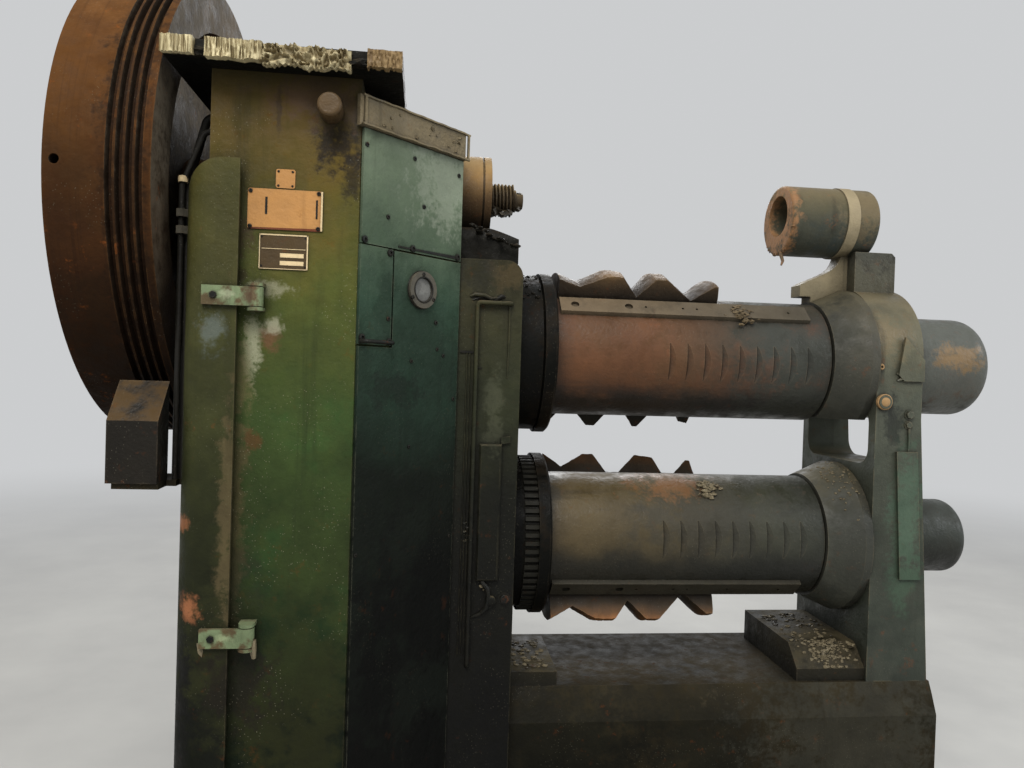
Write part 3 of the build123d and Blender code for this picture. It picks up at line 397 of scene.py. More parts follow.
collar_dusty = weathered(
    "collar_dusty", [(0.0, (60, 61, 53)), (0.35, (74, 74, 65)), (0.7, (58, 58, 50)), (1.0, (76, 72, 60))],
    span=(0.8, 1.8), wander=0.2, second=(44, 46, 40), second_share=0.6, streaks=0.2, dust=(92, 84, 62),
    worn=(120, 106, 78), shine=0.3,
)
web_tan = weathered(
    "web_tan", [(126, 116, 92), (150, 137, 110)],
    span=(1.75, 2.1), mottle=0.6, dust=(120, 106, 76), rust_share=0.2,
)
base_dark = weathered(
    "base_dark", [(0.0, (14, 14, 9)), (0.5, (18, 17, 11)), (0.8, (28, 26, 17)), (1.0, (44, 39, 26))],
    span=(0.0, 0.62), wander=0.1, second=(44, 37, 23), second_share=0.4, mottle=1.0, grit=0.8,
    dust=(50, 42, 27), dust_share=0.4, worn=(70, 62, 44), shine=0.1, dents=0.006,
    spots=(
        ((-0.12, -0.37, 0.6), (0.34, 0.11, 0.08), (84, 73, 50), 0.75),
        ((-0.2, 0.05, 0.6), (0.4, 0.2, 0.08), (18, 18, 15), 0.7),
        ((0.45, -0.25, 0.42), (0.36, 0.3, 0.3), (64, 63, 54), 0.5),
        ((-0.45, -0.25, 0.45), (0.3, 0.3, 0.25), (18, 18, 12), 0.5),
    ),
)
block_crumbly = weathered(
    "block_crumbly", [(24, 22, 14), (42, 38, 25)],
    span=(0.6, 0.7), wander=0.05, mottle=1.0, dust=(80, 72, 52), dust_share=0.6, shine=0.2, dents=0.01,
)
# The tones lighten from the bottom up: painted light on the top and painted shade below. The side tone is
# painted light on the right face.
wheel_rust = weathered(
    "wheel_rust",
    [
        (0.0, (26, 16, 8)), (0.3, (42, 26, 12)), (0.5, (72, 46, 21)), (0.75, (92, 59, 27)),
        (1.0, (120, 79, 38)),
    ],
    span=(1.3, 2.6), wander=0.3, second=(52, 30, 16), second_share=0.5, mottle=0.45, streaks=0.35,
    streak_stretch=(90.0, 0.9, 0.9), grime_and_shade=(28, 18, 12), hollow_shade_share=0.85, hollow_shade_reach=0.03,
    worn=(112, 80, 46), worn_share=0.4, dust=(98, 72, 42), dust_share=0.3, rust=(130, 72, 32),
    rust_share=0.5, rough=(0.6, 0.9), shine=0.08, side=(0, 0.75, 1.55, 2.3, (92, 86, 74), 0.85),
    spots=(
        # A dark band across x: painted shade in the recess of the wheel's face.
        ((-1.52, 0.0, 1.926), (0.06, 3.0, 3.0), (28, 18, 9), 0.65),
    ),
)
# The dark tone below the axis height is painted shade on the barrel's underside.
upper_barrel = weathered(
    "upper_barrel",
    [
        (0.0, (92, 61, 36)), (0.26, (86, 59, 36)), (0.37, (64, 55, 43)), (0.45, (52, 54, 48)),
        (0.58, (48, 51, 46)), (0.78, (68, 71, 64)), (1.0, (78, 81, 74)),
    ],
    axis=0, span=(-0.5, 1.0), wander=0.18, second=(98, 58, 34), second_share=0.35, mottle=0.6,
    streak_stretch=(1.6, 12.0, 12.0), grime_and_shade=(32, 30, 27), worn=(124, 106, 80), rust=(128, 76, 46),
    dust_share=0.0, rough=(0.32, 0.7), shine=0.3, shade_below=(1.475, 1.425, (30, 31, 29), 0.9),
    spots=(
        ((0.27, 0.0, 1.56), (0.21, 0.5, 0.5), (54, 55, 48), 0.8),
        ((0.8, 0.0, 1.56), (0.34, 0.5, 0.5), (84, 86, 80), 0.85),
        ((0.8, -0.17, 1.59), (0.09, 0.08, 0.05), (136, 108, 70), 0.75),
    ),
)
# The dark tone below the axis height is painted shade on the barrel's underside.
lower_barrel = weathered(
    "lower_barrel",
    [
        (0.0, (76, 63, 38)), (0.3, (70, 62, 42)), (0.45, (54, 54, 42)), (0.58, (44, 46, 38)),
        (1.0, (50, 55, 50)),
    ],
    axis=0, span=(-0.5, 1.0), wander=0.18, second=(40, 40, 34), second_share=0.6, mottle=0.7,
    streak_stretch=(1.6, 12.0, 12.0), grime_and_shade=(28, 27, 23), worn=(104, 94, 70), rust=(112, 74, 46),
    rust_share=0.15, dust_share=0.0, rough=(0.32, 0.7), shine=0.35, shade_below=(1.01, 0.92, (24, 25, 20), 0.85),
    spots=(
        ((-0.1, -0.1, 1.17), (0.15, 0.16, 0.05), (116, 82, 54), 0.7),
    ),
)
disc_greasy = weathered(
    "disc_greasy", [(6, 6, 4), (10, 10, 7)],
    mottle=0.9, second=(34, 26, 16), second_share=0.5, streaks=0.2, grime_and_shade=(16, 16, 14), worn=(62, 54, 40),
    rust_share=0.15, dust_share=0.0, rough=(0.4, 0.75), shine=0.1,
)
bar_grey = weathered(
    "bar_grey", [(0.0, (72, 66, 54)), (0.35, (88, 78, 62)), (1.0, (106, 90, 68))],
    axis=0, span=(0.3, -0.5), mottle=0.6, hollow_shade_reach=0.02, dust_share=0.0, shine=0.35,
)
# The tones darken from the tooth tips to the roots: painted shade in the roots.
gear_dark = weathered(
    "gear_dark", [(0.0, (5, 5, 4)), (0.7, (9, 9, 8)), (0.93, (18, 18, 15)), (1.0, (34, 33, 28))],
    axis=3, hub=lower_height, span=(0.224, 0.238), wander=0.002, mottle=0.5, hollow_shade_reach=0.01,
    rust_share=0.05, dust_share=0.0, worn=(58, 56, 46), shine=0.12,
)
bar_dark = weathered(
    "bar_dark", [(46, 44, 36), (60, 55, 44)],
    mottle=0.6, hollow_shade_reach=0.02, rust_share=0.2, dust_share=0.0, worn=(96, 88, 68), shine=0.2,
)
tube_rust = weathered(
    "tube_rust", [(0.0, (58, 66, 64)), (0.34, (56, 62, 57)), (0.6, (84, 80, 62)), (1.0, (120, 106, 78))],
    span=(1.93, 2.12), wander=0.04, second=(70, 66, 48), second_share=0.5, mottle=0.6, hollow_shade_share=0.5,
    rust=(150, 88, 48), rust_share=0.35, worn=(158, 120, 76),
    spots=(
        ((0.262, 0.0, 2.02), (0.04, 0.16, 0.16), (152, 112, 76), 0.95),
        ((0.5, -0.08, 2.04), (0.1, 0.1, 0.1), (112, 98, 72), 0.7),
    ),
)
strip_grey = weathered(
    "strip_grey", [(98, 88, 67), (116, 104, 80)],
    mottle=0.9, grit=0.9, worn=(140, 124, 94), dents=0.006, grain=0.003,
)
board_pale = weathered(
    "board_pale", [(176, 164, 124), (196, 184, 146)],
    mottle=1.0, streaks=0.6, streak_stretch=(60.0, 2.0, 2.0), grime_and_shade=(96, 78, 46), specks=0.0,
)
# Near black: painted shade of the board's underside.
board_black_painted_shade = weathered(
    "board_black_painted_shade", [(10, 10, 9), (12, 12, 10)],
    mottle=0.5, dust=(70, 62, 46), shine=0.1,
)
plate_tan = weathered(
    "plate_tan", [(162, 116, 64), (178, 130, 76)],
    mottle=0.35, grit=0.4, grime_and_shade=(96, 66, 38), hollow_shade_reach=0.01, specks=0.1, dents=0.0005,
)
plate_dark = weathered(
    "plate_dark", [(62, 49, 30), (72, 57, 35)],
    mottle=0.4, streaks=0.2, hollow_shade_reach=0.01, dents=0.0005,
)
hinge_green = weathered(
    "hinge_green", [(108, 122, 90), (118, 132, 98)],
    second=(84, 66, 44), second_share=0.9, second_scale=22.0, hollow_shade_reach=0.02,
    spots=on_face(-0.59, 0.05, (
        (-1.262, 1.651, 0.02, 0.03, (92, 62, 44), 0.8),
        (-1.31, 1.655, 0.018, 0.012, (160, 168, 136), 0.8),
        (-1.3, 0.868, 0.02, 0.014, (150, 162, 124), 0.8),
    )),
)
box_dark = weathered(
    "box_dark", [(20, 17, 12), (27, 23, 16)],
    dust=(106, 80, 42), dust_share=0.9, hollow_shade_reach=0.02,
)
hose_black = weathered("hose_black", [(22, 21, 18), (26, 25, 22)], mottle=0.5, streaks=0.0, dust_share=0.3)
hose_grey = weathered("hose_grey", [(98, 94, 82), (110, 106, 92)], mottle=0.5, streaks=0.0, dust_share=0.0)
steel_dull = weathered(
    "steel_dull", [(62, 60, 52), (84, 80, 70)],
    mottle=0.9, rough=(0.4, 0.7), shine=0.2, hollow_shade_reach=0.008, dust_share=0.2,
)
steel_black = weathered(
    "steel_black", [(14, 16, 14), (18, 20, 17)],
    mottle=0.5, rough=(0.4, 0.7), shine=0.2, dust_share=0.0, specks=0.0, worn_share=0.2,
)
glass_dirty = weathered(
    "glass_dirty", [(84, 84, 80), (112, 112, 108)],
    mottle=1.2, rough=(0.2, 0.5), shine=0.3, second=(60, 58, 54), second_share=0.4, second_scale=40.0,
    hollow_shade_reach=0.02, dents=0.0002, grain=0.0001,
)
crumb_pale = weathered(
    "crumb_pale", [(112, 102, 80), (138, 127, 102)],
    mottle=0.9, hollow_shade_reach=0.02, specks=0.4,
)
crumb_brown = weathered(
    "crumb_brown", [(78, 64, 44), (116, 100, 74)],
    mottle=1.0, hollow_shade_reach=0.02, grime_and_shade=(28, 24, 18),
)
crumb_dark = weathered(
    "crumb_dark", [(34, 31, 24), (48, 42, 32)],
    mottle=0.9, hollow_shade_reach=0.02, shine=0.4, rough=(0.3, 0.6),
)
board_brown = weathered(
    "board_brown", [(112, 92, 60), (128, 106, 72)],
    mottle=0.7, streaks=0.6, streak_stretch=(60.0, 2.0, 2.0), grime_and_shade=(70, 50, 28), specks=0.0,
)
brass_dull = weathered(
    "brass_dull", [(140, 106, 68), (168, 136, 94)],
    mottle=0.7, hollow_shade_reach=0.02, streaks=0.3, shine=0.3, dust_share=0.2,
)
rod_brown = weathered(
    "rod_brown", [(0.0, (40, 32, 20)), (0.5, (62, 50, 32)), (1.0, (112, 94, 62))],
    span=(1.97, 2.09), wander=0.03, grime_and_shade=(22, 17, 11), hollow_shade_reach=0.02, rust=(96, 52, 26), dust_share=0.6,
    dust=(150, 130, 92),
)
pin_brown = weathered(
    "pin_brown", [(66, 52, 32), (84, 66, 42)],
    grime_and_shade=(26, 20, 12), dust=(108, 92, 62), dust_share=0.3,
)
rust_dark = weathered("rust_dark", [(92, 42, 22), (104, 50, 26)], mottle=0.6, rust_share=0.4)
plate_bright = weathered(
    "plate_bright", [(196, 172, 128), (210, 188, 146)],
    mottle=0.5, hollow_shade_reach=0.01, streaks=0.3, shine=0.4,
)
die_looks = dict(
    axis=3, mottle=0.6, second=(54, 44, 32), second_share=0.5, streaks=0.3, streak_stretch=(14.0, 3.0, 3.0),
    grime_and_shade=(26, 21, 15), worn=(150, 124, 86), worn_share=0.5, rust=(122, 70, 36), rust_share=0.4,
    dust_share=0.0, wander=0.05, shine=0.25,
)
# The dark tone below a height is painted shade on the die's underside.
die_brown_upper = weathered(
    "die_brown_upper",
    [(0.0, (34, 27, 19)), (0.45, (58, 45, 30)), (0.8, (88, 68, 44)), (1.0, (120, 94, 62))],
    span=(0.19, 0.275), hub=upper_height, shade_below=(1.47, 1.4, (30, 31, 28), 0.9), **die_looks,
)
die_brown_lower = weathered(
    "die_brown_lower",
    [(0.0, (30, 25, 19)), (0.45, (58, 46, 30)), (0.8, (96, 66, 38)), (1.0, (132, 86, 46))],
    span=(0.19, 0.275), hub=lower_height, **die_looks,
)

by_node = {
    housing_green: "housing_body",
    door_green: "guard_door",
    bevel_teal: "upper_panel hatch_cover lower_panel",
    cheek_olive: "housing_cheek cheek_cover cheek_pipe flywheel_bearing",
    cap_dark: "cheek_cap",
    boss_tan: "tie_boss",
    stand_grey: "outboard_stand",
    collar_dusty: "upper_collar lower_collar",
    web_tan: "tie_web",
    base_dark: "base_bed box_bracket",
    block_crumbly: "left_foot_block right_foot_block",
    wheel_rust: "flywheel flywheel_shaft",
    upper_barrel: "upper_roll",
    lower_barrel: "lower_roll",
    disc_greasy: "upper_back_disc upper_flange lower_flange",
    gear_dark: "lower_gear",
    bar_grey: "upper_bar",
    bar_dark: "lower_bar",
    die_brown_upper: "upper_die",
    die_brown_lower: "lower_die",
    tube_rust: "tie_tube",
    strip_grey: "name_strip",
    board_pale: "top_board",
    plate_tan: "warning_plate small_plate",
    plate_dark: "rating_plate",
    hinge_green: "door_straps hinge_brackets",
    box_dark: "switch_box",
    hose_black: "left_hoses",
    rod_brown: "tie_rod_stub",
    pin_brown: "lifting_pin",
    steel_dull: "sight_glass_ring",
    steel_black: "hatch_handle",
    glass_dirty: "sight_glass",
}
for material, names in by_node.items():
    dress(material, *names.split())

# Edges of castings and plates are a little round
for width, names in (
    (0.007, "housing_body housing_cheek base_bed outboard_stand cheek_cap"),
    (0.004, "left_foot_block right_foot_block guard_door cheek_cover name_strip switch_box tie_web"),
    (0.0015, "upper_panel lower_panel hatch_cover door_straps upper_bar lower_bar"),
):
    for node in names.split():
        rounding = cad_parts[node].modifiers.new("rounding", "BEVEL")
        rounding.width = width
        rounding.segments = 2
        rounding.limit_method = "ANGLE"
        rounding.angle_limit = math.radians(40)


def turns(steps):
    """Angles that divide a full turn into equal steps."""
    return [math.tau * i / steps for i in range(steps)]


def mixed(x, z, seed, scale):
    return noise.noise(Vector((x * scale, seed, z * scale)))


def round_axis(x, radius, turn, height):
    """The point at a radius from an axis along x at a height; turn is 0 on top and grows to the front."""
    return (x, -radius * math.sin(turn), height + radius * math.cos(turn))


def rectangle(x0, x1, z0, z1):
    return ((x0, z0), (x1, z0), (x1, z1), (x0, z1))


# Small pieces, gathered into one mesh for each body and surface


class Pile:
    """Closed shapes that are gathered into one mesh."""

    def __init__(self):
        self.mesh = bmesh.new()

    def skin(self, rings):
        """Joins rings of equally many points into one closed shape."""
        rings = [[self.mesh.verts.new(point) for point in ring] for ring in rings]
        for a, b in zip(rings, rings[1:]):
            for i in range(len(a)):
                j = (i + 1) % len(a)
                self.mesh.faces.new((a[i], a[j], b[j], b[i]))
        self.mesh.faces.new(rings[0][::-1])
        self.mesh.faces.new(rings[-1])

    def lathe(self, centre, axis, profile, steps=12):
        """A turned shape about an axis through centre, from (height, radius) pairs."""
        centre, axis = Vector(centre), Vector(axis).normalized()
        side = axis.orthogonal().normalized()
        other = axis.cross(side)
        spokes = [math.cos(a) * side + math.sin(a) * other for a in turns(steps)]
        self.skin([[centre + h * axis + r * spoke for spoke in spokes] for h, r in profile])

    def screw(self, centre, axis, radius):
        """A screw head with a socket."""
        h = 0.5 * radius
        head = [(-0.003, radius), (0.8 * h, radius), (h, 0.84 * radius)]
        self.lathe(centre, axis, head + [(h, 0.5 * radius), (0.2 * h, 0.45 * radius)])

    def nut(self, centre, axis, radius):
        """A hexagon head on a washer."""
        washer = [(-0.003, 1.3 * radius), (0.002, 1.3 * radius), (0.002, 0.9 * radius)]
        self.lathe(centre, axis, washer, 16)
        head = [(0.001, radius), (0.75 * radius, radius), (0.85 * radius, 0.86 * radius)]
        self.lathe(centre, axis, head, 6)

    def lump(self, centre, size, seed, rough=0.7):
        """A rough closed lump."""
        centre, shift = Vector(centre), Vector((seed, 2.3 * seed, 0.7 * seed))
        for vertex in bmesh.ops.create_icosphere(self.mesh, subdivisions=2, radius=1.0)["verts"]:
            swell = 1.0 + rough * noise.noise(1.8 * vertex.co + shift)
            swell += 0.5 * rough * noise.noise(4.1 * vertex.co - shift)
            vertex.co = centre + Vector([swell * c * s for c, s in zip(vertex.co, size)])

    def slab(self, outline, depth):
        """A plate: an outline of points, thickened by a depth vector."""
        depth = Vector(depth)
        self.skin([[Vector(p) for p in outline], [Vector(p) + depth for p in outline]])

    def on_wall(self, wall, corners, depth):
        """A plate on a wall that faces the front, from (x, z) corners, sunk 1 mm into the wall."""
        self.slab([(x, wall + 0.001, z) for x, z in corners], (0, -depth, 0))

    def rod(self, path, radius, steps=8):
        """A round bar along a path, of one radius or one for each point."""
        path = [Vector(p) for p in path]
        radii = radius if isinstance(radius, (list, tuple)) else [radius] * len(path)
        side = (path[1] - path[0]).orthogonal().normalized()
        rings = []
        for i, point in enumerate(path):
            along = (path[min(i + 1, len(path) - 1)] - path[max(i - 1, 0)]).normalized()
            side = (side - side.dot(along) * along).normalized()
            other = along.cross(side)
            spokes = [math.cos(a) * side + math.sin(a) * other for a in turns(steps)]
            rings.append([point + radii[i] * spoke for spoke in spokes])
        self.skin(rings)

    def bead(self, wall, points):
        """A round bar along a wall that faces the front, from (x, height above the wall, z, radius)."""
        path = [(x, wall - lift, z) for x, lift, z, radius in points]
        self.rod(path, [radius for x, lift, z, radius in points])

    def place(self, name, material, body="machine", stands_for=(), sharp=38.0):
        """Closes the pile: one object that rides on a body."""
        bmesh.ops.recalc_face_normals(self.mesh, faces=self.mesh.faces)
        mesh = bpy.data.meshes.new(name)
        self.mesh.to_mesh(mesh)
        self.mesh.free()
        mesh.shade_smooth()
        mesh.set_sharp_from_angle(angle=math.radians(sharp))
        mesh.materials.append(material)
        piece = bpy.data.objects.new(name, mesh)
        scene.collection.objects.link(piece)
        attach(piece, body)
        if stands_for:
            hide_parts(*stands_for)


# Splintered board: a near-black core, whose colour is painted shade of its underside, and pale broken ends
# along its front edge


def board():
    core = Pile()
    left, right, front, rear, bottom = -1.455, -0.93, -0.612, 0.56, 2.175
    outline = [(left, front, bottom), (right, front, bottom), (right, rear, bottom), (left, rear, bottom)]
    core.slab(outline, (0.0, 0.0, 0.038))
    core.lump((-1.376, -0.612, 2.186), (0.016, 0.01, 0.01), 3.0)
    core.lump((-1.026, -0.614, 2.184), (0.022, 0.012, 0.01), 5.0)
    core.place("board_core", board_black_painted_shade, stands_for=["top_board"])
    grained, torn, brown = Pile(), Pile(), Pile()
    # From x, to x, bottom, top, raggedness, depth of the folds, how fast they change with height
    stretches = (
        (grained, -1.455, -1.386, 2.174, 2.214, 0.2, 0.006, 0.3),
        (grained, -1.362, -1.238, 2.17, 2.214, 0.4, 0.007, 0.4),
        (torn, -1.24, -1.044, 2.164, 2.214, 1.0, 0.015, 6.0),
        (brown, -1.008, -0.93, 2.172, 2.214, 0.4, 0.0035, 1.5),
    )
    for seed, (pile, x0, x1, z0, z1, ragged, depth, curl) in enumerate(stretches):
        sway, fold_scale = (0.02, 95.0) if pile is torn else (0.002, 260.0)
        columns = int((x1 - x0) / 0.0016)
        rings = []
        for i in range(columns + 1):
            x = x0 + (x1 - x0) * i / columns
            low = z0 + 0.008 * ragged * mixed(x, 0.0, seed + 0.5, 55.0)
            low += 0.006 * ragged * mixed(x, 0.0, seed + 3.5, 150.0)
            high = z1 - 0.002 - 0.004 * ragged * (0.5 + mixed(x, 0.0, seed + 6.5, 70.0))
            ring = [(x, -0.6, low + 0.004), (x, -0.6, high)]
            for k in range(19):
                z = high + (low - high) * k / 18
                bent = x + sway * mixed(x, z, 9.5, 30.0)
                fold = abs(mixed(bent, z * curl / 6.0, seed + 1.5, fold_scale))
                y = -0.637 + depth * min(1.0, 2.4 * fold)
                y += 0.004 * (1.0 + mixed(x, z, seed + 4.5, 25.0)) * ragged
                ring.append((min(max(x, x0), x1), y, z))
            rings.append(ring)
        pile.skin(rings)
    grained.place("board_grained", board_pale, sharp=50.0)
    torn.place("board_torn", board_pale, sharp=50.0)
    brown.place("board_brown", board_brown, sharp=50.0)


board()


# Worn dies: the front edge has the profile of the solid, the rear edge the profile that it wears into


def along_profile(profile, offset):
    for (a, ra), (b, rb) in zip(profile, profile[1:]):
        if offset <= b:
            return ra + (rb - ra) * max(0.0, offset - a) / (b - a)
    return profile[-1][1]


def die(name, node, material, height, first, near, far):
    """A half shell from the angle first on; its profile in mm changes from near in front to far behind."""
    pile = Pile()
    steps, rows_round = 176, 40
    left_x, barrel_r, least_r = -0.478, 0.1879, 0.196
    low, high = near[0][0], near[-1][0]
    rows = []
    for k in range(rows_round + 1):
        share = k / rows_round
        angle = math.radians(first + 180.0 * share)
        front = share if first < 0.0 else 1.0 - share
        front = front * front * (3.0 - 2.0 * front)
        row = []
        for i in range(steps + 1):
            offset = low + (high - low) * i / steps
            reach = front * along_profile(near, offset) + (1.0 - front) * along_profile(far, offset)
            wear = 0.0028 * noise.noise(Vector((offset * 0.045, 3.2 * angle, height * 9.0)))
            chip = noise.noise(Vector((offset * 0.16, 9.0 * angle, height * 5.0)))
            radius = max(least_r, reach / 1000.0 - abs(wear) - 0.003 * max(0.0, chip - 0.15))
            row.append(round_axis(left_x + offset / 1000.0, radius, angle, height))
        for offset in (high, low):
            row.append(round_axis(left_x + offset / 1000.0, barrel_r, angle, height))
        rows.append(row)
    pile.skin(rows)
    pile.place(name, material, node.replace("_die", "_roll"), [node], sharp=30.0)


upper_near = [
    (12, 253), (76, 231), (155, 266), (167, 268), (205, 267), (253, 205),
    (307, 264), (340, 265), (424, 200), (494, 250), (505, 250), (510, 210),
]
upper_far = [
    (12, 246), (31, 253), (65, 205), (109, 205), (158, 266), (186, 266), (227, 205), (275, 205),
    (316, 266), (332, 266), (373, 205), (462, 205), (470, 240), (502, 250), (510, 210),
]
lower_near = [
    (16, 269), (84, 233), (151, 270), (175, 272), (214, 272), (256, 216),
    (309, 272), (351, 272), (431, 194), (500, 257), (522, 257), (526, 210),
]
lower_far = [
    (16, 269), (75, 222), (150, 268), (185, 268), (225, 205), (267, 205), (328, 268),
    (389, 260), (414, 205), (457, 205), (503, 253), (517, 253), (524, 210), (526, 205),
]
die("upper_die_worn", "upper_die", die_brown_upper, upper_height, -150.5, upper_near, upper_far)
die("lower_die_worn", "lower_die", die_brown_lower, lower_height, 150.5, lower_near, lower_far)


# Threaded stub: one helical groove, a worn tip and grease hanging from it


def round_noise(x, turn, along, across):
    """Noise on a round surface, whose scales are along its axis and across it."""
    return noise.noise(Vector((along * x, across * math.cos(turn), across * math.sin(turn))))


def threaded_stub():
    stub = Pile()
    height, start, step = 2.03, -0.72, 0.0012
    pitch, root_r, depth = 0.011, 0.0415, 0.0085
    tip_start, tip_r = -0.603, 0.034
    angles = turns(40)
    rings = []
    for i in range(105):
        x = start + step * i
        ring = []
        for turn in angles:
            wave = abs((x / pitch + turn / math.tau) % 1.0 - 0.5) * 2.0
            radius = root_r + depth * min(1.0, 1.5 * wave) + 0.0014 * round_noise(x, turn, 90.0, 3.0)
            if x > tip_start:
                radius = tip_r + 0.0022 * round_noise(x, turn, 60.0, 2.0)
            ring.append((x, radius * math.sin(turn), height + radius * math.cos(turn)))
        rings.append(ring)
    for radius, x in ((0.03, -0.5935), (0.012, -0.59)):
        rings.append([(x, radius * math.sin(turn), height + radius * math.cos(turn)) for turn in angles])
    stub.skin(rings)
    stub.lathe((-0.592, 0.0, height), (1, 0, 0), [(-0.012, 0.026), (0.016, 0.026), (0.02, 0.022)], 20)
    stub.place("threaded_stub", rod_brown, stands_for=["tie_rod_stub"], sharp=55.0)
    grease = Pile()
    drops = (
        (-0.655, -0.028, 1.992, 0.019), (-0.636, -0.03, 1.984, 0.016), (-0.668, -0.02, 1.984, 0.014),
        (-0.618, -0.024, 1.99, 0.012), (-0.59, -0.012, 2.004, 0.011), (-0.584, -0.01, 2.048, 0.01),
    )
    for seed, (x, y, z, size) in enumerate(drops):
        grease.lump((x, y, z), (size, size, 0.75 * size), seed + 1.0)
    grease.place("stub_grease", crumb_dark)


threaded_stub()


# Screws and fittings of the 45 degree panels, and a painted shadow strip under the upper panel's edge

slant = 0.70711
bevel_x, bevel_y = -1.024, housing_front
bevel_out = (slant, -slant, 0.0)


def on_bevel(u, z, out=0.008):
    """The point at a distance u along the bevel, at the height z, and out from its face."""
    return (bevel_x + (u + out) * slant, bevel_y + (u - out) * slant, z)


def bevel_slab(pile, corners, out):
    """A 4 mm plate on the bevel, from (u, z) corners."""
    pile.slab([on_bevel(u, z, out) for u, z in corners], (0.0028, -0.0028, 0.0))


def bevel_fittings():
    dark, ring_dark, seal = Pile(), Pile(), Pile()
    large = ((0.012, 1.8), (0.169, 1.8), (0.335, 1.801), (0.094, 1.779), (0.012, 1.568), (0.098, 1.562))
    upper = (
        (0.012, 2.023), (0.168, 2.026), (0.332, 2.019), (0.205, 1.912),
        (0.084, 1.865), (0.094, 1.618), (0.26, 1.62),
    )
    lower = (
        (0.268, 1.551), (0.292, 1.535), (0.176, 1.517), (0.176, 1.3),
        (0.335, 1.42), (0.335, 1.05), (0.012, 1.05),
    )
    for radius, places in ((0.0085, large), (0.0055, upper), (0.0048, lower)):
        for u, z in places:
            dark.screw(on_bevel(u, z), bevel_out, radius)
    for u, z in ((0.203, 1.739), (0.167, 1.678), (0.241, 1.678)):
        ring_dark.screw(on_bevel(u, z, 0.016), bevel_out, 0.0052)
    # A dark strip at the foot of the upper panel: painted shadow of its edge.
    bevel_slab(dark, ((0.12, 1.7975), (0.345, 1.7955), (0.345, 1.8035), (0.12, 1.8005)), 0.006)
    dark.place("bevel_screws_and_shadow_strip", steel_black)
    ring_dark.place("ring_screws", steel_black)
    for reach, lift, thick in ((0.0322, 0.016, 0.0026), (0.0472, 0.008, 0.0018)):
        angles = turns(40) + [math.tau]
        path = [on_bevel(0.205 + reach * math.cos(a), 1.7 + reach * math.sin(a), lift) for a in angles]
        seal.rod(path, thick, 6)
    seal.place("glass_seal", steel_black)


bevel_fittings()


# Bare cast strip: a raised rim and casting lumps


def strip_rim():
    rim = Pile()
    base, lift, bar = 0.0165, 0.004, 0.007
    low, high = 2.063, 2.136
    for z0, z1 in ((low, low + bar), (high - bar, high)):
        rings = []
        for i in range(61):
            u = -0.01 + 0.372 * i / 60
            sag = 0.0016 * mixed(u, z0, 2.5, 40.0)
            corners = ((z0, 0.0), (z1, 0.0), (z1 - 0.0015, lift), (z0 + 0.0015, lift))
            rings.append([on_bevel(u, z + sag, base + out) for z, out in corners])
        rim.skin(rings)
    for u in (-0.006, 0.352):
        bevel_slab(rim, rectangle(u, u + bar, low + 0.004, high - 0.004), base)
    source = random.Random(4)
    for k in range(16):
        u, z = source.uniform(0.0, 0.35), source.uniform(low + 0.01, high - 0.01)
        size = source.uniform(0.003, 0.007)
        rim.lump(on_bevel(u, z, base - 0.45 * size), (size, size, 0.8 * size), k * 1.7)
    for k in range(30):
        u = source.uniform(0.1, 0.36)
        size = source.uniform(0.002, 0.006)
        rim.lump(on_bevel(u, high + 0.0005, base - 0.012), (size, size, 0.6 * size), k * 2.1)
    rim.place("strip_rim", strip_grey)


strip_rim()


# Plates: screws, slots, rims and blank fields


def plate_details():
    dark, bright, red = Pile(), Pile(), Pile()
    front = -0.549
    for radius, places, heights in (
        (0.0048, (-1.272, -1.117), (1.817, 1.899)),
        (0.0026, (-1.21, -1.178), (1.9465, 1.9135)),
        (0.0022, (-1.244, -1.1445), (1.794, 1.726)),
    ):
        for x in places:
            for z in heights:
                dark.screw((x, front, z), to_front, radius)
    for slot in ((-1.2385, -1.2335, 1.846, 1.886), (-1.123, -1.119, 1.84, 1.884)):
        dark.on_wall(front, rectangle(*slot), 0.0016)
    red.on_wall(front, ((-1.276, 1.811), (-1.112, 1.811), (-1.112, 1.8165), (-1.276, 1.8145)), 0.0016)
    bright.on_wall(front, rectangle(-1.1115, -1.1075, 1.812, 1.904), 0.003)
    for field in (
        (-1.249, -1.139, 1.7975, 1.8005),
        (-1.1415, -1.1385, 1.72, 1.8005),
        (-1.2495, -1.2475, 1.72, 1.8005),
        (-1.249, -1.139, 1.7195, 1.721),
        (-1.244, -1.144, 1.766, 1.7675),
        (-1.202, -1.148, 1.747, 1.757),
        (-1.202, -1.148, 1.729, 1.739),
    ):
        bright.on_wall(front, rectangle(*field), 0.002)
    dark.place("plate_screws", steel_black)
    red.place("warning_edge", rust_dark)
    bright.place("plate_rims", plate_bright)


plate_details()


# Cheek: a broken ledge, thin lines, a bolt, a bent pipe end and a heap of dirt on its cap


